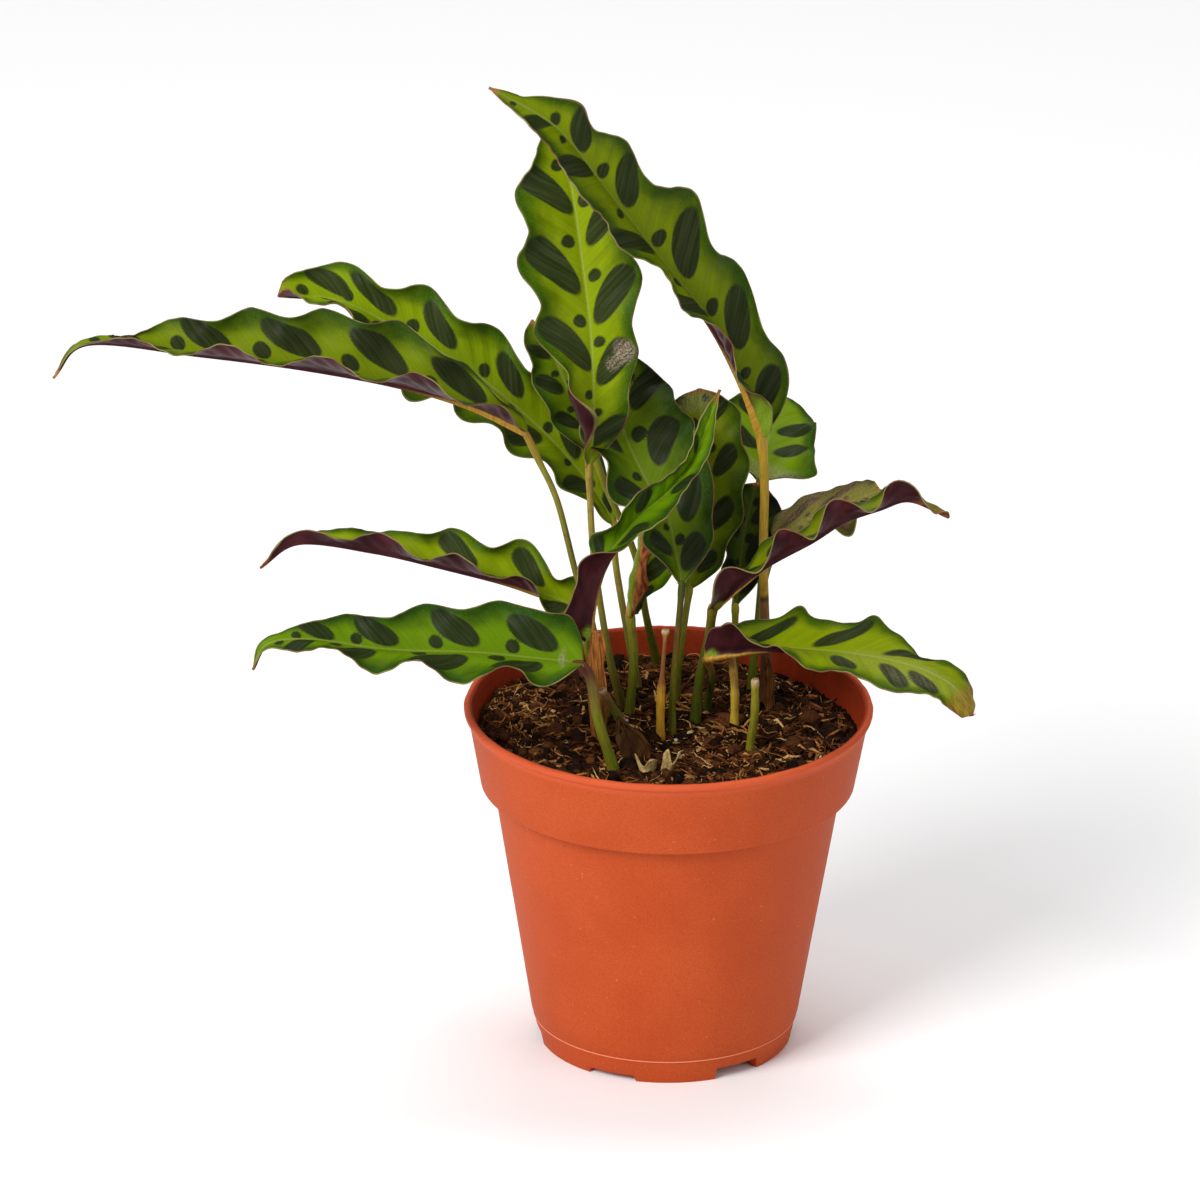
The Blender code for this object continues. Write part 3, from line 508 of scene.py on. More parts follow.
def stalk_material(name, stops):
    """A stalk's finish: its colours from foot to end, with fine lengthwise grooves."""
    g = Graph(name, 0.42, 0.15)
    run, turn = g.attribute("run"), g.attribute("turn")
    grain = g.field((run, 0.25), (turn, 14.0), 0.0, 3.0)
    blotch = g.noise(g.place(), 260.0, 3.0)
    colour = g.ramp(g.attribute("share"), stops)
    colour = g.cover(colour, grain, 0.3, 0.75, 0.45, (76, 82, 28), blend="MULTIPLY")
    colour = g.cover(colour, blotch, 0.5, 0.75, 0.5, (116, 70, 38))
    colour = g.mix(g.step(g.attribute("tip"), 0.0, 1.0, 0.0, 0.9), colour,
                   g.shades(grain, 0.4, 0.6, (206, 180, 138), (150, 110, 76)))
    return g.finish(colour, g.step(blotch, 0.3, 0.7, 0.36, 0.55), grain, 0.25, 0.7)


def dry_material(name, bright):
    """Papery brown sheath, streaked lengthwise."""
    g = Graph(name, 0.75, 0.15)
    along, out = g.attribute("along"), g.attribute("out")
    fibres = g.field((along, 0.12), (out, 3.2), 0.0, 4.0, 0.6)
    broad = g.noise(g.place(), 180.0)
    colour = g.shades(fibres, 0.32, 0.68, (92, 48, 16), (188, 122, 52), bright)
    colour = g.cover(colour, broad, 0.4, 0.65, 0.6, (112, 62, 34), bright)
    return g.finish(colour, g.step(broad, 0.3, 0.7, 0.6, 0.85), fibres, 0.35, 0.9)


def pot_material():
    """Matt orange moulded plastic, with painted shade on its inside wall and a painted highlight on its
    lip.
    """
    g = Graph("pot_plastic", 0.6, 0.1)
    place = g.place()
    grain = g.noise(place, 2600.0, 3.0, 0.6)
    cloud = g.noise(place, 45.0, 3.0)
    speck = g.noise(place, 900.0)
    colour = g.shades(cloud, 0.3, 0.7, (182, 74, 32), (190, 82, 39))
    colour = g.cover(colour, grain, 0.35, 0.7, 0.40, (140, 48, 20))
    colour = g.cover(colour, speck, 0.70, 0.78, 0.5, (214, 124, 88))
    # painted highlight: the lip is painted a lighter orange
    colour = g.cover(colour, g.attribute("lip"), 0.0, 1.0, 0.6, (206, 88, 52))
    colour = g.cover(colour, g.attribute("seam"), 0.0, 1.0, 0.7, (236, 150, 118))
    inside = g.attribute("inside")
    # painted shade: the inside wall is darkened to a deeper red-brown
    colour = g.mix(g.times(inside, g.step(cloud, 0.2, 0.8, 0.75, 0.95)), colour, linear((142, 44, 16)))
    dirt = g.times(inside, g.step(g.noise(place, 700.0, 4.0, 0.6), 0.55, 0.68, 0.0, 0.5))
    colour = g.mix(dirt, colour, linear((92, 38, 20)))
    rough = g.step(cloud, 0.3, 0.7, 0.5, 0.62)
    return g.finish(colour, rough, g.plus(grain, g.times(speck, 0.6)), 0.06, 0.7)


def soil_material():
    """Peat: red-brown where it lies higher, with painted shade that makes it near black in the hollows."""
    g = Graph("peat", 0.9, 0.06)
    place = g.place()
    crumb = g.noise(place, 900.0, 5.0, 0.65)
    broad = g.noise(place, 130.0, 3.0)
    colour = g.shades(crumb, 0.35, 0.7, (14, 8, 4), (92, 52, 24))
    colour = g.cover(colour, broad, 0.45, 0.7, 0.55, (52, 30, 18))
    # painted shade: the lower the soil lies, the nearer black it is painted
    colour = g.mix(g.step(g.attribute("height"), -1.0, 1.2, 0.75, 0.0), colour, linear((15, 9, 6)))
    return g.finish(colour, g.step(broad, 0.3, 0.7, 0.8, 0.97), crumb, 0.6, 1.0)


def bit_material(name, roughness=0.85):
    """Loose bits, each with its own tone."""
    g = Graph(name, roughness, 0.08)
    grain = g.noise(g.place(), 1500.0, 3.0)
    colour = g.ramp(g.attribute("tone"), BIT_COLOURS[name])
    colour = g.cover(colour, grain, 0.35, 0.7, 0.5, (70, 42, 24), blend="MULTIPLY")
    return g.finish(colour, g.step(grain, 0.3, 0.7, roughness - 0.1, roughness + 0.05), grain, 0.3, 0.8)


# ---------------------------------------------------------------- meshes

def link(name, data):
    """A new object of the scene that shows this data."""
    made = bpy.data.objects.new(name, data)
    bpy.context.scene.collection.objects.link(made)
    return made


def add_piece(name, mesh, material, slot, *nodes):
    """Link a mesh as a piece of the plant that stands for CAD nodes."""
    made = link(name, mesh)
    mesh.materials.append(material)
    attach(made, "root")
    if nodes:
        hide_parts(*nodes)
    return made


def mesh_of(name, points, faces, attributes):
    """A smooth mesh from points in mm, with one number per vertex for each named attribute."""
    mesh = bpy.data.meshes.new(name)
    mesh.from_pydata((np.asarray(points) * MM).tolist(), [], faces)
    for key, values in attributes.items():
        made = mesh.attributes.new(key, "FLOAT", "POINT")
        made.data.foreach_set("value", np.asarray(values, np.float32).ravel())
    mesh.shade_smooth()
    mesh.validate()
    return mesh


def grid_faces(rows, columns, start=0, flip=False, closed=False):
    """Quads over a grid of vertices, wrapped round its columns if it is closed."""
    grid = start + np.arange(rows * columns).reshape(rows, columns)
    if closed:
        grid = np.hstack([grid, grid[:, :1]])
    quads = np.stack([grid[:-1, :-1], grid[1:, :-1], grid[1:, 1:], grid[:-1, 1:]], axis=-1).reshape(-1, 4)
    return (quads[:, ::-1] if flip else quads).tolist()


def tube_faces(rows, sides):
    """Faces of a closed tube: its rings, then the middles of its foot and of its end."""
    faces = grid_faces(rows, sides, flip=True, closed=True)
    foot, end, last = rows * sides, rows * sides + 1, (rows - 1) * sides
    for j in range(sides):
        k = (j + 1) % sides
        faces += [(foot, k, j), (end, last + j, last + k)]
    return faces


def sheet_faces(rows, columns):
    """Faces of a closed sheet: its upper grid, its lower grid after it, and the edge between."""
    total = rows * columns
    faces = grid_faces(rows, columns) + grid_faces(rows, columns, total, flip=True)
    grid = np.arange(total).reshape(rows, columns)
    ring = np.concatenate([grid[:, 0], grid[-1, 1:], grid[-2::-1, -1], grid[0, -2:0:-1]]).tolist()
    return faces + [(a, a + total, b + total, b) for a, b in zip(ring, ring[1:] + ring[:1])]


def unit(vectors):
    """The same vectors at length 1."""
    return vectors / np.linalg.norm(vectors, axis=-1, keepdims=True)


def normals(points):
    """The normals of a grid of points."""
    return unit(np.cross(np.gradient(points, axis=0), np.gradient(points, axis=1)))


def stacked(upper, lower):
    """Two grids of points as one list."""
    return np.concatenate([upper.reshape(-1, 3), lower.reshape(-1, 3)])


def distances(path):
    """The distance along a path to each of its points."""
    return np.concatenate([[0], np.cumsum(np.linalg.norm(np.diff(path, axis=0), axis=1))])


def path_length(path):
    """The length of a path."""
    return np.linalg.norm(np.diff(path, axis=0), axis=1).sum()


def smooth_path(points, steps):
    """steps + 1 evenly spaced points along a smooth curve through the given points."""
    points = np.array(points, float)
    knots = np.concatenate([[2 * points[0] - points[1]], points, [2 * points[-1] - points[-2]]])
    u = np.linspace(0, 1, 60, endpoint=False)[:, None]
    dense = []
    for a, b, c, d in zip(knots, knots[1:], knots[2:], knots[3:]):
        dense.append(b + 0.5 * u * (c - a + u * (2 * a - 5 * b + 4 * c - d + u * (3 * (b - c) + d - a))))
    dense = np.concatenate(dense + [points[-1:]])
    run = distances(dense)
    wanted = np.linspace(0, run[-1], steps + 1)
    return np.stack([np.interp(wanted, run, dense[:, axis]) for axis in range(3)], axis=1)


def soft(values):
    """A soft step from 0 to 1."""
    values = np.clip(values, 0, 1)
    return values * values * (3 - 2 * values)


def eased(values, t):
    """Values spaced evenly from base to tip, read at t with a soft step between them."""
    values = np.array(values, float)
    if len(values) == 1:
        return np.full_like(t, values[0])
    place = t * (len(values) - 1)
    lower = np.clip(place.astype(int), 0, len(values) - 2)
    part = soft(place - lower)
    return values[lower] * (1 - part) + values[lower + 1] * part


def outline(t, base, tip):
    """The half width of a lance-shaped blade, 1 at its widest."""
    peak = base / (base + tip)
    return t ** base * (1 - t) ** tip / (peak ** base * (1 - peak) ** tip)


def blade_frame(leaf, steps):
    """t, the midrib, its left-hand and upward directions and the blade's spread, base to tip."""
    t = np.linspace(0, 1, steps + 1)
    midrib = smooth_path(leaf["midrib"], steps)
    along = unit(np.gradient(midrib, axis=0))
    facing = unit(FRONT - (along @ FRONT)[:, None] * along)
    turn = np.radians(eased(leaf["turn"], t))[:, None]
    up = np.cos(turn) * facing + np.sin(turn) * np.cross(facing, along)
    spread = np.maximum(outline(t, *leaf["shape"]), 0.06 - 0.045 * t)
    return t, midrib, np.cross(up, along), up, spread


def half_blade(leaf, frame_parts, q, side):
    """Points of one half, base to tip and midrib to margin; side is 0 for left, 1 for right."""
    t, midrib, left, up, spread = frame_parts
    width = leaf["half_width"][side] * spread[:, None]
    rise = eased(leaf["fold"][side], t)[:, None] + leaf["curl"] * q
    for at, degrees, spell, power in leaf["curls"][side]:
        rise = rise + degrees * np.exp(-((t - at) / spell) ** 2)[:, None] * q ** power
    rise = np.radians(rise)
    middle = (rise[:, 1:] + rise[:, :-1]) / 2
    start = np.zeros((len(t), 1))
    gaps = np.diff(q)
    out = np.hstack([start, np.cumsum(np.cos(middle) * gaps, axis=1)]) * width
    lift = np.hstack([start, np.cumsum(np.sin(middle) * gaps, axis=1)]) * width
    crest = np.sin(2 * math.pi * (leaf["waves"][side] * t + leaf["phase"][side]))
    crest *= leaf["depth"][side] * np.minimum(1.4 * spread, 1)
    wave = crest[:, None] * q ** 1.7
    draw = leaf["lobe"][side] * crest[:, None] * q ** 2
    for at, reach, spell in leaf["bulges"][side]:
        swell = reach * np.exp(-((t - at) / spell) ** 2) * soft(t / 0.04)
        draw = draw - swell[:, None] * q ** 2
    out = out - np.sin(rise) * wave - np.cos(rise) * draw
    lift = lift + np.cos(rise) * wave - np.sin(rise) * draw
    sideways = left if side == 0 else -left
    return midrib[:, None] + out[..., None] * sideways[:, None] + lift[..., None] * up[:, None]


def blade_grid(leaf, q, cell, least=1):
    """t, the spread, the length, and the blade's points with their q, from right margin to left."""
    length = path_length(smooth_path(leaf["midrib"], 60))
    parts = blade_frame(leaf, max(least, round(length / cell)))
    left, right = (half_blade(leaf, parts, q, side) for side in (0, 1))
    points = np.concatenate([right[:, ::-1], left[:, 1:]], axis=1)
    across = np.broadcast_to(np.concatenate([-q[::-1], q[1:]]), points.shape[:2])
    return parts[0], parts[-1], length, points, across


def mark_depth(leaf, t, length, widths, q, side, rng):
    """How far inside a dark mark each point of one half lies, in mm."""
    x = t[:, None] * length
    y = q[None, :] * widths[:, None]
    depth = np.full(y.shape, -5.0)
    slant, longer, wider = leaf["mark_slant"], leaf["mark_long"][side], leaf["mark_wide"][side]
    for place in leaf["marks"][side]:
        here = np.interp(place, t, widths)
        width = 0.6 * here + 0.34 * widths.max()
        # t, mm out from the midrib, length and breadth as shares of that width, and slant
        large = (place, 0.5 * here, 0.66 * longer, 0.28 * wider, slant)
        small = (place + SMALL_AFTER, 0.2 * here, 0.185 * wider, 0.14 * wider, slant + 8)
        for at, centre, long, short, angle in (large, small)[:leaf["mark_kinds"]]:
            angle = math.radians(angle + rng.uniform(-5, 5))
            long, short = long * width * rng.uniform(0.92, 1.06), short * width * rng.uniform(0.9, 1.12)
            dx, dy = x - at * length, y - centre
            u = (dx * math.cos(angle) + dy * math.sin(angle)) / long
            v = (-dx * math.sin(angle) + dy * math.cos(angle)) / (short * (1 + 0.12 * u))
            depth = np.maximum(depth, (1 - np.sqrt(u * u + v * v)) * short)
    return depth


def patches(places, t, across):
    """A number from 0 to 1 inside oval places given as (t, across, length, width, amount)."""
    total = np.zeros(across.shape)
    for at, centre, long, wide, amount in places:
        away = np.sqrt(((t - at) / long) ** 2 + ((across - centre) / wide) ** 2)
        total = np.maximum(total, amount * soft((1.15 - away) / 0.5))
    return total


def make_leaf(name, leaf, seed):
    """A blade as a thin closed sheet with a rib under it, and its marks stored on its vertices."""
    rng = np.random.default_rng(seed)
    q = np.linspace(0, 1, CROSS_CELLS + 1) ** CROSS_POWER
    t, spread, length, points, across = blade_grid(leaf, q, CELL, LEAST_CELLS)
    widths = [width * spread for width in leaf["half_width"]]
    left, right = (mark_depth(leaf, t, length, widths[side], q, side, rng) for side in (0, 1))
    mark = np.concatenate([right[:, ::-1], left[:, 1:]], axis=1)
    width = np.where(across > 0, widths[0][:, None], widths[1][:, None])
    out = np.abs(across) * width
    t = t[:, None]
    x = t * length

    phase = rng.uniform(0, 6.28, 6)
    fade = soft(np.abs(across) * 2.5)
    veins = (x - VEIN_SLOPE * out) / VEIN_SPACING * 2 * math.pi
    ripple = VEIN_HEIGHT * np.sin(veins + phase[0]) * fade
    for start, (height, along, aside) in zip(phase[1:], RIPPLES):
        ripple += height * np.sin(x / along + out / aside + start) * fade
    points = points + normals(points) * (ripple * np.minimum(2.5 * spread, 1)[:, None])[..., None]
    normal = normals(points)

    thick = MARGIN_THICKNESS + (LEAF_THICKNESS - MARGIN_THICKNESS) * (1 - np.abs(across)) ** 0.7
    slim = 1 - 0.75 * t
    rib = RIB_HEIGHT * slim * np.exp(-(out / (RIB_WIDTH * slim)) ** 2)
    groove = 0.10 * np.exp(-(out / 0.35) ** 2) - 0.16 * np.exp(-(out / 1.1) ** 2)
    upper = points + normal * (thick / 2 + groove * soft(t * 12))[..., None]
    lower = points - normal * (thick / 2 + rib)[..., None]

    band = leaf["bare"] * (0.35 + 1.0 * (1 - soft(t / 0.3)))
    shared = dict(
        bare=soft((1.3 - out / band) / 0.5) * (1 - soft((t - 0.05) / 0.3)),
        along=x + 0 * out, rib=out, across=np.abs(across), vein=x - VEIN_SLOPE * out,
        margin=np.minimum(width - out, (1 - t) * length * 0.5 + 0.2), mark=mark,
        dry=patches(leaf["dry"] + [(1.0, 0.0, 0.022, 3.0, leaf["tip_dry"])], t, across),
        grey=patches(leaf["grey"], t, across),
        fresh=patches(leaf["fresh"] + [(0.0, 0.0, 0.05, 0.5, 0.8)], t, across))
    attributes = {key: np.tile(values.ravel(), 2) for key, values in shared.items()}
    attributes["under"] = np.repeat([0.0, 1.0], out.size)
    mesh = mesh_of(name, stacked(upper, lower), sheet_faces(*out.shape), attributes)
    add_piece("leaf_" + name, mesh, leaf_material("leaf_" + name, leaf["tone"]), "leaf", "blade_" + name)


def make_sheath(name, leaf, seed):
    """A dry sheath: a thin curled sheet with a torn upper edge."""
    rng = np.random.default_rng(seed)
    q = np.linspace(0, 1, SHEATH_CROSS_CELLS + 1)
    t, _, length, points, across = blade_grid(leaf, q, SHEATH_CELL)
    t = t[:, None]
    out = across * leaf["half_width"][0]
    phase = rng.uniform(0, 6.28, 4)
    tear = 1.8 * np.sin(out * 2.9 + phase[0]) + 1.1 * np.sin(out * 6.1 + phase[1])
    direction = unit(np.gradient(points[:, SHEATH_CROSS_CELLS], axis=0))
    points = points + direction[:, None] * (np.minimum(tear, 0) * soft((t - 0.6) / 0.4))[..., None]
    normal = normals(points)
    crease = 0.16 * np.sin(out * 7.0 + phase[2]) + 0.2 * np.sin(t * 19 + out * 1.3 + phase[3])
    upper = points + normal * (SHEET_HALF + crease)[..., None]
    lower = points + normal * (crease - SHEET_HALF)[..., None]
    attributes = {"along": np.tile((t * length + 0 * out).ravel(), 2), "out": np.tile(out.ravel(), 2)}
    mesh = mesh_of(name, stacked(upper, lower), sheet_faces(*out.shape), attributes)
    add_piece(name, mesh, dry_material(name, leaf["bright"]), "dry", name)


def tube(path, radii, sides, bend=0.0):
    """The points of a tube round a path, ring by ring, then its two ends' middles."""
    along = unit(np.gradient(path, axis=0))
    across = np.cross(along[0], [0.0, 1.0, 0.2])
    angle = np.linspace(0, 2 * math.pi, sides, endpoint=False)
    rings = []
    for place, direction, radius in zip(path, along, radii):
        across = unit(across - (across @ direction) * direction)
        other = np.cross(direction, across)
        wobble = radius * (1 + bend * np.sin(2 * angle + 0.7) + 0.4 * bend * np.sin(5 * angle))
        spokes = np.cos(angle)[:, None] * across + np.sin(angle)[:, None] * other
        rings.append(place + wobble[:, None] * spokes)
    return np.concatenate(rings + [path[:1], path[-1:]])


def tube_mesh(name, path, radii, sides, tip_run=0.0, bend=0.05, dish=0.0):
    """A closed tube; run is the distance from its foot, share the same from 0 to 1.

    tip grows from 0 to 1 over the last tip_run, and the end's middle lies dish deep.
    """
    points = tube(path, radii, sides, bend)
    points[-1] -= unit(path[-1] - path[-2]) * dish
    run = distances(path)
    turn = np.concatenate([np.tile(np.abs(np.linspace(-1, 1, sides, endpoint=False)), len(path)), [0, 0]])
    run_all = np.concatenate([np.repeat(run, sides), [0, run[-1]]])
    tip = soft((run_all - run[-1] + tip_run) / tip_run) if tip_run else 0 * run_all
    return mesh_of(name, points, tube_faces(len(path), sides),
                   {"run": run_all, "share": run_all / run[-1], "turn": turn, "tip": tip})


def planted(points):
    """A stalk's stations with its foot set in the soil."""
    return [(*points[0], height) for height in STALK_FOOT] + points[1:]


def make_stalk(name, leaf):
    """A leaf's stalk, which swells at its sheath and under the blade and runs on as the rib."""
    _, midrib, _, up, _ = blade_frame(leaf, 200)
    ends = [midrib[i] - up[i] * drop for i, drop in STALK_UNDER]
    stations = planted(leaf["stalk"]) + ends
    length = path_length(smooth_path(stations, 80))
    steps = max(40, round(length / STALK_CELL))
    run = np.linspace(0, 1, steps + 1)
    blade_at = 1 - path_length(np.array(ends)) / length
    radii = leaf["stout"] * (1.04 - 0.1 * run)
    radii = radii + 0.3 * (1 - soft((run - 0.05) / 0.3))
    radii = radii + 0.2 * np.exp(-((run - blade_at + 0.05) / 0.045) ** 2)
    radii = radii * (1 - 0.72 * soft((run - blade_at) / (1 - blade_at)))
    mesh = tube_mesh(name, smooth_path(stations, steps), radii, STALK_SIDES)
    material = stalk_material("stem_" + name, STALK_COLOURS.get(name, GREEN_STALK))
    add_piece("stem_" + name, mesh, material, "stalk", "stalk_" + name)


def make_stub(name, points, seed):
    """A cut stalk with a dished, dry end."""
    rng = np.random.default_rng(seed)
    stations = planted(points)
    steps = round(path_length(smooth_path(stations, 60)) / STUB_CELL)
    run = np.linspace(0, 1, steps + 1)
    radii = 1.1 - 0.15 * run + 0.3 * (1 - soft(run / 0.3))
    radii = radii + 0.12 * np.exp(-((run - 0.55) / 0.02) ** 2) + 0.05 * np.sin(run * 23 + rng.uniform(0, 6))
    if name in STUB_WITHERED:
        thin = soft((run - STUB_WITHERED[name]) / 0.12) * (1 - soft((run - 0.93) / 0.05))
        radii = radii * (1 - 0.5 * thin)
    radii[-1] *= 0.8
    path = smooth_path(stations, steps)
    mesh = tube_mesh(name, path, radii, STUB_SIDES, tip_run=2.2, bend=0.08, dish=0.7)
    add_piece("cut_" + name, mesh, stalk_material("cut_" + name, STUB_COLOURS[name]), "stalk", name)


def arc(centre, radius, start, end, count):
    """Points (radius, height) on an arc, angles in degrees."""
    angles = np.radians(np.linspace(start, end, count))
    return [(centre[0] + radius * math.cos(a), centre[1] + radius * math.sin(a)) for a in angles]


def densified(profile, spacing):
    """The same profile with points no further apart than the spacing."""
    made = []
    for a, b in zip(profile, profile[1:]):
        count = max(1, math.ceil(math.dist(a, b) / spacing))
        made += [(a[0] + (b[0] - a[0]) * k / count, a[1] + (b[1] - a[1]) * k / count) for k in range(count)]
    return made + [profile[-1]]


def pot_profile():
    """The pot's section as (radius, height): its foot from the middle, its outside, lip and inside."""
    under = [(0, 0), (9.6, 0), (10, 0.3), (11.5, 3.3), (11.9, 3.6), (29.6, 3.6), (30.0, 3.2), (30.0, 0.25),
             (30.25, 0)]
    outside = [(32.35, 0), (32.62, 0.3), (33.9, 6.3), (34.12, 6.42), (34.12, 6.62), (33.98, 6.75),
               (34.55, 8.3), (44.72, 70.3), (44.78, 70.5), (44.95, 70.65), (47.4, 70.95), (47.8, 71.05),
               (48.05, 71.3), (48.15, 71.8), (51.4, 89.7), (51.55, 90.1)]
    lip = arc((51.55, 91.05), 0.95, -80, 90, 9) + [(50.9, 91.9), (50.45, 91.5), (50.25, 90.8)]
    inside = [(47.25, 74.2), (47.0, 72.7), (46.6, 72.2), (43.9, 71.7), (43.6, 71.2), (33.55, 8.6),
              (32.9, 5.2), (32.4, 4.8), (10.9, 4.8), (10.4, 4.5), (9.0, 1.4), (8.6, 1.1), (0, 1.1)]
    return under + outside + lip + inside


def notch_height(radius, height, azimuth):
    """A foot point's height where the foot ring is cut away."""
    if not FOOT_RING[0] < radius < FOOT_RING[1] or height > FOOT_RING_TOP:
        return height
    for start, rise in NOTCHES:
        away = abs((azimuth - start + 180) % 360 - 180) * math.pi / 180 * FOOT_RADIUS
        if away < NOTCH_WIDTH / 2:
            return max(height, rise)
    return height


def pot_point(radius, height, angle):
    """A point of the pot, which is a little oval, uneven at its lip and notched at its foot."""
    direction = Vector((math.cos(angle), math.sin(angle), 0))
    r, z = radius, height
    if radius > COLLAR_FROM:
        flaw = noise.fractal(direction * 9 + Vector((0, 0, height * 0.4)), 0.8, 2.0, 3)
        r += 0.10 * flaw * min(1, max(0, (height - COLLAR_FLAWS[0]) / 6))
        z += 0.16 * flaw * min(1, max(0, (height - COLLAR_FLAWS[1]) / 2))
    if radius > OVAL_FROM:
        r += 0.12 * math.sin(2 * angle + 0.6) * height / POT_HEIGHT
    return r * direction.x, r * direction.y, notch_height(radius, z, math.degrees(angle))


def make_pot():
    """The pot: a section turned about Z, with drain holes through its floor."""
    (_, foot), *section, (_, floor) = densified(pot_profile(), POT_CELL)
    angles = np.linspace(0, 2 * math.pi, POT_TURN_STEPS, endpoint=False)
    points = [pot_point(radius, height, angle) for radius, height in section for angle in angles]
    points += [(0, 0, foot), (0, 0, floor)]
    radii, heights = np.array(section).T
    inside = np.arange(len(section)) > heights.argmax()
    outside = np.arange(len(section)) < heights.argmax()
    marks = {"lip": (heights > LIP_FROM[1]) & (radii > LIP_FROM[0]), "inside": inside,
             "seam": outside & (heights > SEAM[0]) & (heights < SEAM[1])}
    attributes = {key: np.append(np.repeat(where, POT_TURN_STEPS), [False, key == "inside"])
                  for key, where in marks.items()}
    mesh = mesh_of("pot_shell", points, tube_faces(len(section), POT_TURN_STEPS), attributes)
    made = add_piece("pot_shell", mesh, pot_material(), "terracotta", "pot")
    drill(made)
    made.data.set_sharp_from_angle(angle=SHARP_ANGLE)


def circle(radius, count):
    """Points (x, y) spaced evenly on a circle."""
    angles = [2 * math.pi * k / count for k in range(count)]
    return [(radius * math.cos(angle), radius * math.sin(angle)) for angle in angles]


def drill(pot):
    """Cut the drain holes through the pot's floor."""
    shape = bmesh.new()
    for x, y in circle(DRAIN_CIRCLE, DRAIN_COUNT):
        place = Matrix.Translation(Vector((x, y, DRAIN_MIDDLE)) * MM) @ Matrix.Rotation(DRAIN_TURN, 4, "Z")
        bmesh.ops.create_cone(shape, cap_ends=True, segments=DRAIN_SIDES, radius1=DRAIN_RADIUS * MM,
                              radius2=DRAIN_RADIUS * MM, depth=DRAIN_DEPTH * MM, matrix=place)
    mesh = bpy.data.meshes.new("drill")
    shape.to_mesh(mesh)
    shape.free()
    cutter = link("drill", mesh)
    cut = pot.modifiers.new("Drain", "BOOLEAN")
    cut.operation, cut.solver, cut.object = "DIFFERENCE", "EXACT", cutter
    graph = bpy.context.evaluated_depsgraph_get()
    result = bpy.data.meshes.new_from_object(pot.evaluated_get(graph))
    pot.modifiers.clear()
    pot.data = result
    bpy.data.objects.remove(cutter)


def soil_height(x, y):
    """The soil's height above its level at a place."""
    place = Vector((x, y, 0.0))
    broad = noise.fractal(place / 15 + Vector((3.1, 0, 0)), 0.9, 2.0, 3)
    lump = 1 - abs(noise.noise(place / 3.4 + Vector((0, 7.7, 0))))
    crumb = noise.fractal(place / 1.7, 0.6, 2.1, 3)
    edge = max(0.0, (math.hypot(x, y) - SOIL_EDGE[0]) / SOIL_EDGE[1])
    return 0.9 * broad + 1.9 * (lump - 0.75) + 0.8 * crumb - 0.9 * edge - SOIL_TILT * x


def ring_faces(inner, inner_count, outer, outer_count):
    """Triangles between two rings of different counts, or a fan when the inner ring is a point."""
    if inner_count == 1:
        return [(inner, outer + k, outer + (k + 1) % outer_count) for k in range(outer_count)]
    faces, i, o = [], 0, 0
    while i < inner_count or o < outer_count:
        if o < outer_count and (o + 1) / outer_count <= (i + 1) / inner_count + 1e-9 or i >= inner_count:
            third = outer + (o + 1) % outer_count
            faces.append((inner + i % inner_count, outer + o % outer_count, third))
            o += 1
        else:
            third = inner + (i + 1) % inner_count
            faces.append((inner + i % inner_count, outer + o % outer_count, third))
            i += 1
    return faces


def make_soil():
    """The soil: a crumbly top on a closed body that fits the pot."""
    points, heights, faces = [(0, 0, SOIL_LEVEL)], [0.0], []
    rings = int(SOIL_RADIUS / SOIL_CELL)
    start, count = 0, 1
    for ring in range(1, rings + 1):
        radius = SOIL_RADIUS * ring / rings
        inner, inner_count = start, count
        start, count = len(points), max(6, round(2 * math.pi * radius / SOIL_CELL / 6) * 6)
        for x, y in circle(radius, count):
            heights.append(soil_height(x, y))
            points.append((x, y, SOIL_LEVEL + heights[-1]))
        faces += ring_faces(inner, inner_count, start, count)
    base, following = len(points), [(k + 1) % count for k in range(count)]
    points += [(x, y, SOIL_FLOOR) for x, y in circle(SOIL_BASE_RADIUS, count)] + [(0, 0, SOIL_FLOOR)]
    heights += [-1.0] * (count + 1)
    faces += [(start + k, base + k, base + j, start + j) for k, j in enumerate(following)]
    faces += [(base + count, base + j, base + k) for k, j in enumerate(following)]
    mesh = mesh_of("soil_bed", points, faces, {"height": heights})
    add_piece("soil_bed", mesh, soil_material(), "soil", "soil")


def joined(name, bits, material, slot):
    """Many small closed bodies as one piece; each is (points, faces, tone)."""
    points, faces, tones = [], [], []
    for body, body_faces, tone in bits:
        start = len(points)
        points += [tuple(p) for p in body]
        faces += [tuple(start + k for k in face) for face in body_faces]
        tones += [tone] * len(body)
    add_piece(name, mesh_of(name, points, faces, {"tone": tones}), material, slot)


def fibre(rng, x, y, length, radius, lift, heading=None, bend=1.3):
    """A thin bent fibre that lies on the soil."""
    heading = rng.uniform(0, 2 * math.pi) if heading is None else heading
    curl = rng.uniform(-bend, bend)
    path, place = [], np.array([x, y])
    slope = rng.uniform(-0.05, lift)
    parts = len(FIBRE_TAPER) - 1
    for k in range(parts + 1):
        reach = math.hypot(*place)
        if reach > FIBRE_REACH:
            place = place * FIBRE_REACH / reach
        z = SOIL_LEVEL + soil_height(*place) + radius + slope * length * k / parts
        path.append((*place, z))
        heading += curl / parts + rng.uniform(-0.15, 0.15)
        place = place + length / parts * np.array([math.cos(heading), math.sin(heading)])
    points = tube(np.array(path), radius * FIBRE_TAPER, FIBRE_SIDES)
    return points, tube_faces(len(path), FIBRE_SIDES), rng.uniform(0, 1) ** 1.7


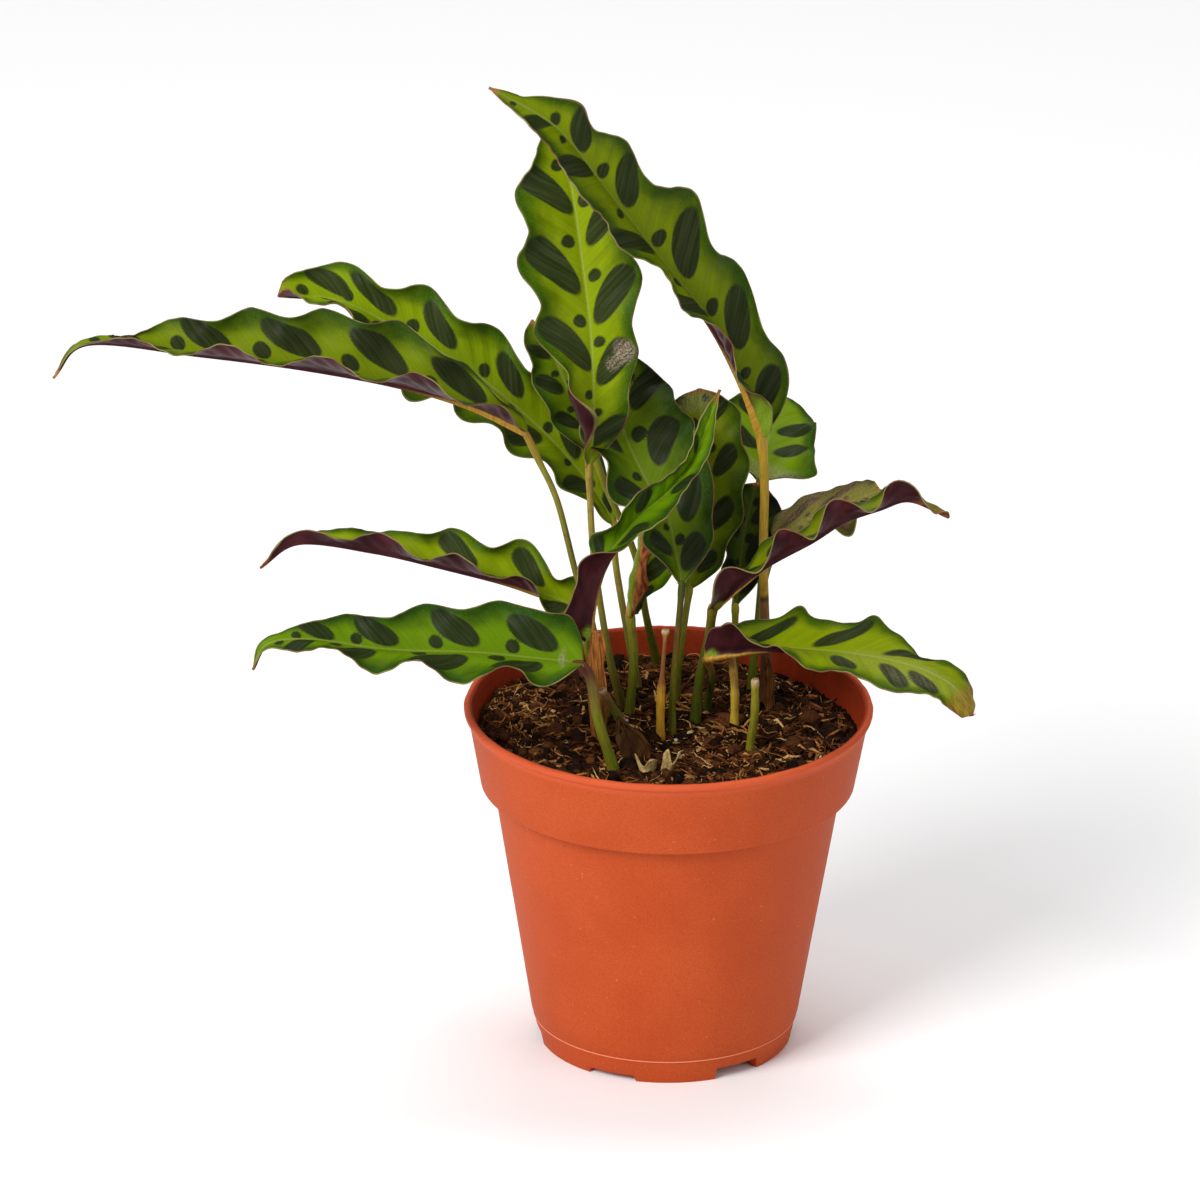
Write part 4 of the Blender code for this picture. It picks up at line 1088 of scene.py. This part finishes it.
def lump(rng, template, x, y, size, sink):
    """A rough clod, chip or grain half set in the soil."""
    shape, faces = template
    stretch = np.array(size) * rng.uniform(0.75, 1.3, 3)
    turn = rng.uniform(0, 2 * math.pi)
    tilt = rng.uniform(-0.4, 0.4)
    rough = shape * (1 + 0.22 * rng.standard_normal((len(shape), 1)).clip(-1.5, 1.5))
    cos, sin = math.cos(tilt), math.sin(tilt)
    body = rough * stretch @ np.array([[cos, 0, sin], [0, 1, 0], [-sin, 0, cos]])
    cos, sin = math.cos(turn), math.sin(turn)
    body = body @ np.array([[cos, sin, 0], [-sin, cos, 0], [0, 0, 1]])
    centre = np.array([x, y, SOIL_LEVEL + soil_height(x, y) + sink * stretch[2]])
    return body + centre, faces, rng.uniform(0, 1)


def ball_template(subdivisions):
    """The points and faces of an icosphere of radius 1."""
    shape = bmesh.new()
    bmesh.ops.create_icosphere(shape, subdivisions=subdivisions, radius=1)
    shape.verts.ensure_lookup_table()
    points = np.array([v.co[:] for v in shape.verts])
    faces = [tuple(v.index for v in face.verts) for face in shape.faces]
    shape.free()
    return points, faces


def flake(rng, x, y, height, width):
    """A dried scrap that stands in the soil: a small curled sheet with a torn top."""
    up, across = np.linspace(0, 1, 11)[:, None], np.linspace(-1, 1, 11)[None, :]
    face, lean, curl = rng.uniform(-0.5, 0.5), rng.uniform(-0.4, 0.4), rng.uniform(0.3, 0.9)
    torn = 1 - 0.45 * np.sin(across * rng.uniform(1.2, 2.2) + rng.uniform(0, 3)) ** 2
    side = width / 2 * across * (0.55 + 0.45 * up)
    rise = height * up * torn
    depth = curl * width / 2 * (across ** 2 - 0.3) + 0.8 * np.sin(3 * up + 3 * across) * up
    sheet = np.stack([x + side * math.cos(face) - depth * math.sin(face) + lean * rise,
                      y + side * math.sin(face) + depth * math.cos(face),
                      SOIL_LEVEL - 1.0 + rise], axis=-1)
    normal = SHEET_HALF * normals(sheet)
    return stacked(sheet + normal, sheet - normal), sheet_faces(*side.shape), rng.uniform(0.3, 1)


def scatter(rng, count, reach=47.0):
    """Places spread evenly over the soil."""
    radius = reach * np.sqrt(rng.uniform(0, 1, count))
    angle = rng.uniform(0, 2 * math.pi, count)
    return zip(radius * np.cos(angle), radius * np.sin(angle))


def heaped(rng, heaps):
    """Places in heaps given as (x, y, count, reach)."""
    for x, y, count, reach in heaps:
        for dx, dy in scatter(rng, count, reach):
            yield x + dx, y + dy


def make_litter():
    """What lies on the soil: clods, fibres, wood chips, white grains and pale dried scraps."""
    rng = np.random.default_rng(LITTER_SEED)
    ball, fine_ball = ball_template(1), ball_template(2)

    clods = [lump(rng, fine_ball, x, y, rng.uniform(0.4, 1.0) ** 1.5 * 1.5 * np.array([1.2, 1, 0.8]), 0.1)
             for x, y in scatter(rng, 640)]
    clods += [lump(rng, fine_ball, x, y, rng.uniform(1.3, 2.8) * np.array([1.2, 1, 0.6]), 0.0)
              for x, y in scatter(rng, 90, 44)]
    joined("soil_clods", clods, bit_material("clod", 0.93), "soil")

    fibres = [fibre(rng, x, y, rng.uniform(3, 11), rng.uniform(0.09, 0.2), 0.22)
              for x, y in scatter(rng, 1250, 46.5)]
    fibres += [fibre(rng, x, y, rng.uniform(5, 13), rng.uniform(0.25, 0.45), 0.2)
               for x, y in scatter(rng, 130, 46)]
    for x, y in heaped(rng, FIBRE_HEAPS):
        body, faces, _ = fibre(rng, x, y, rng.uniform(2, 7), rng.uniform(0.12, 0.34), 0.3)
        fibres.append((body, faces, rng.uniform(0.62, 0.95)))
    for x, y, length, heading in STRAWS:
        body, faces, _ = fibre(rng, x, y, length, 0.5, 0.06, heading, 0.2)
        fibres.append((body, faces, rng.uniform(0.88, 1)))
    joined("soil_fibres", fibres, bit_material("fibre"), "dry")

    chips = [lump(rng, ball, x, y, np.array([rng.uniform(1.2, 3.4), 0.6, 0.35]), 0.5)
             for x, y in scatter(rng, 380)]
    joined("soil_chips", chips, bit_material("chip"), "dry")
    grains = [lump(rng, fine_ball, x, y, rng.uniform(0.25, 0.6) * np.ones(3), 0.5)
              for x, y in scatter(rng, 36)]
    joined("soil_grains", grains, bit_material("grain"), "soil")
    scraps = [flake(rng, *row) for row in FLAKES]
    scraps += [lump(rng, fine_ball, x, y, np.array([rng.uniform(0.5, 1.9), 0.45, 0.3]), 0.7)
               for x, y in heaped(rng, SCRAP_HEAPS)]
    joined("soil_scraps", scraps, bit_material("scrap"), "dry")


# ---------------------------------------------------------------- camera, light and floor

def make_camera():
    """A long lens that looks down at the plant's front."""
    tilt, roll = math.radians(CAMERA_ELEVATION), math.radians(CAMERA_ROLL)
    forward = Vector((0, math.cos(tilt), -math.sin(tilt)))
    level, upright = Vector((1, 0, 0)), Vector((0, math.sin(tilt), math.cos(tilt)))
    right = level * math.cos(roll) + upright * math.sin(roll)
    up = upright * math.cos(roll) - level * math.sin(roll)
    data = bpy.data.cameras.new("camera")
    data.lens, data.sensor_width = CAMERA_LENS, 36.0
    data.clip_start, data.clip_end = 0.5, 60.0
    camera = link("camera", data)
    place = (Vector(CAMERA_AIM) - forward * CAMERA_DISTANCE) * MM
    axes = Matrix((right, up, -forward)).transposed().to_4x4()
    camera.matrix_world = Matrix.Translation(place) @ axes
    bpy.context.scene.camera = camera


def area_light(name, place, size, power):
    """A square soft white light that points at the pot."""
    data = bpy.data.lights.new(name, "AREA")
    data.size, data.energy = size, power
    light = link(name, data)
    light.location = place
    light.rotation_mode = "QUATERNION"
    light.rotation_quaternion = (Vector(LIGHT_AIM) - Vector(place)).to_track_quat("-Z", "Y")


def make_studio():
    """A pale floor, white surroundings and soft lights."""
    world = bpy.data.worlds.new("studio")
    bpy.context.scene.world = world
    world.use_nodes = True
    background = world.node_tree.nodes["Background"]
    background.inputs["Color"].default_value = (1.0, 1.0, 1.0, 1.0)
    background.inputs["Strength"].default_value = WORLD_STRENGTH
    for light in LIGHTS:
        area_light(*light)
    corners = [(x * FLOOR_REACH, y * FLOOR_REACH, 0) for x, y in ((-1, -1), (1, -1), (1, 1), (-1, 1))]
    mesh = mesh_of("floor", corners, [(0, 1, 2, 3)], {})
    g = Graph("floor", 0.9, 0.1)
    paper = g.noise(g.place(), 3.0)
    g.put(g.shader.inputs["Base Color"], g.mix(paper, (0.96, 0.96, 0.96, 1), (0.98, 0.98, 0.98, 1)))
    mesh.materials.append(g.material)
    link("floor", mesh)
    bpy.context.scene.view_settings.view_transform = "Standard"


make_camera()
make_studio()
make_pot()
make_soil()
make_litter()
for index, (leaf_name, row) in enumerate(LEAVES.items()):
    make_leaf(leaf_name, {**USUAL, **row}, LEAF_SEED + index)
    make_stalk(leaf_name, {**USUAL, **row})
for index, (stub_name, route) in enumerate(STUBS.items()):
    make_stub(stub_name, route, STUB_SEED + index)
for index, (sheath_name, row) in enumerate(SHEATHS.items()):
    make_sheath(sheath_name, {**USUAL, **row}, SHEATH_SEED + index)
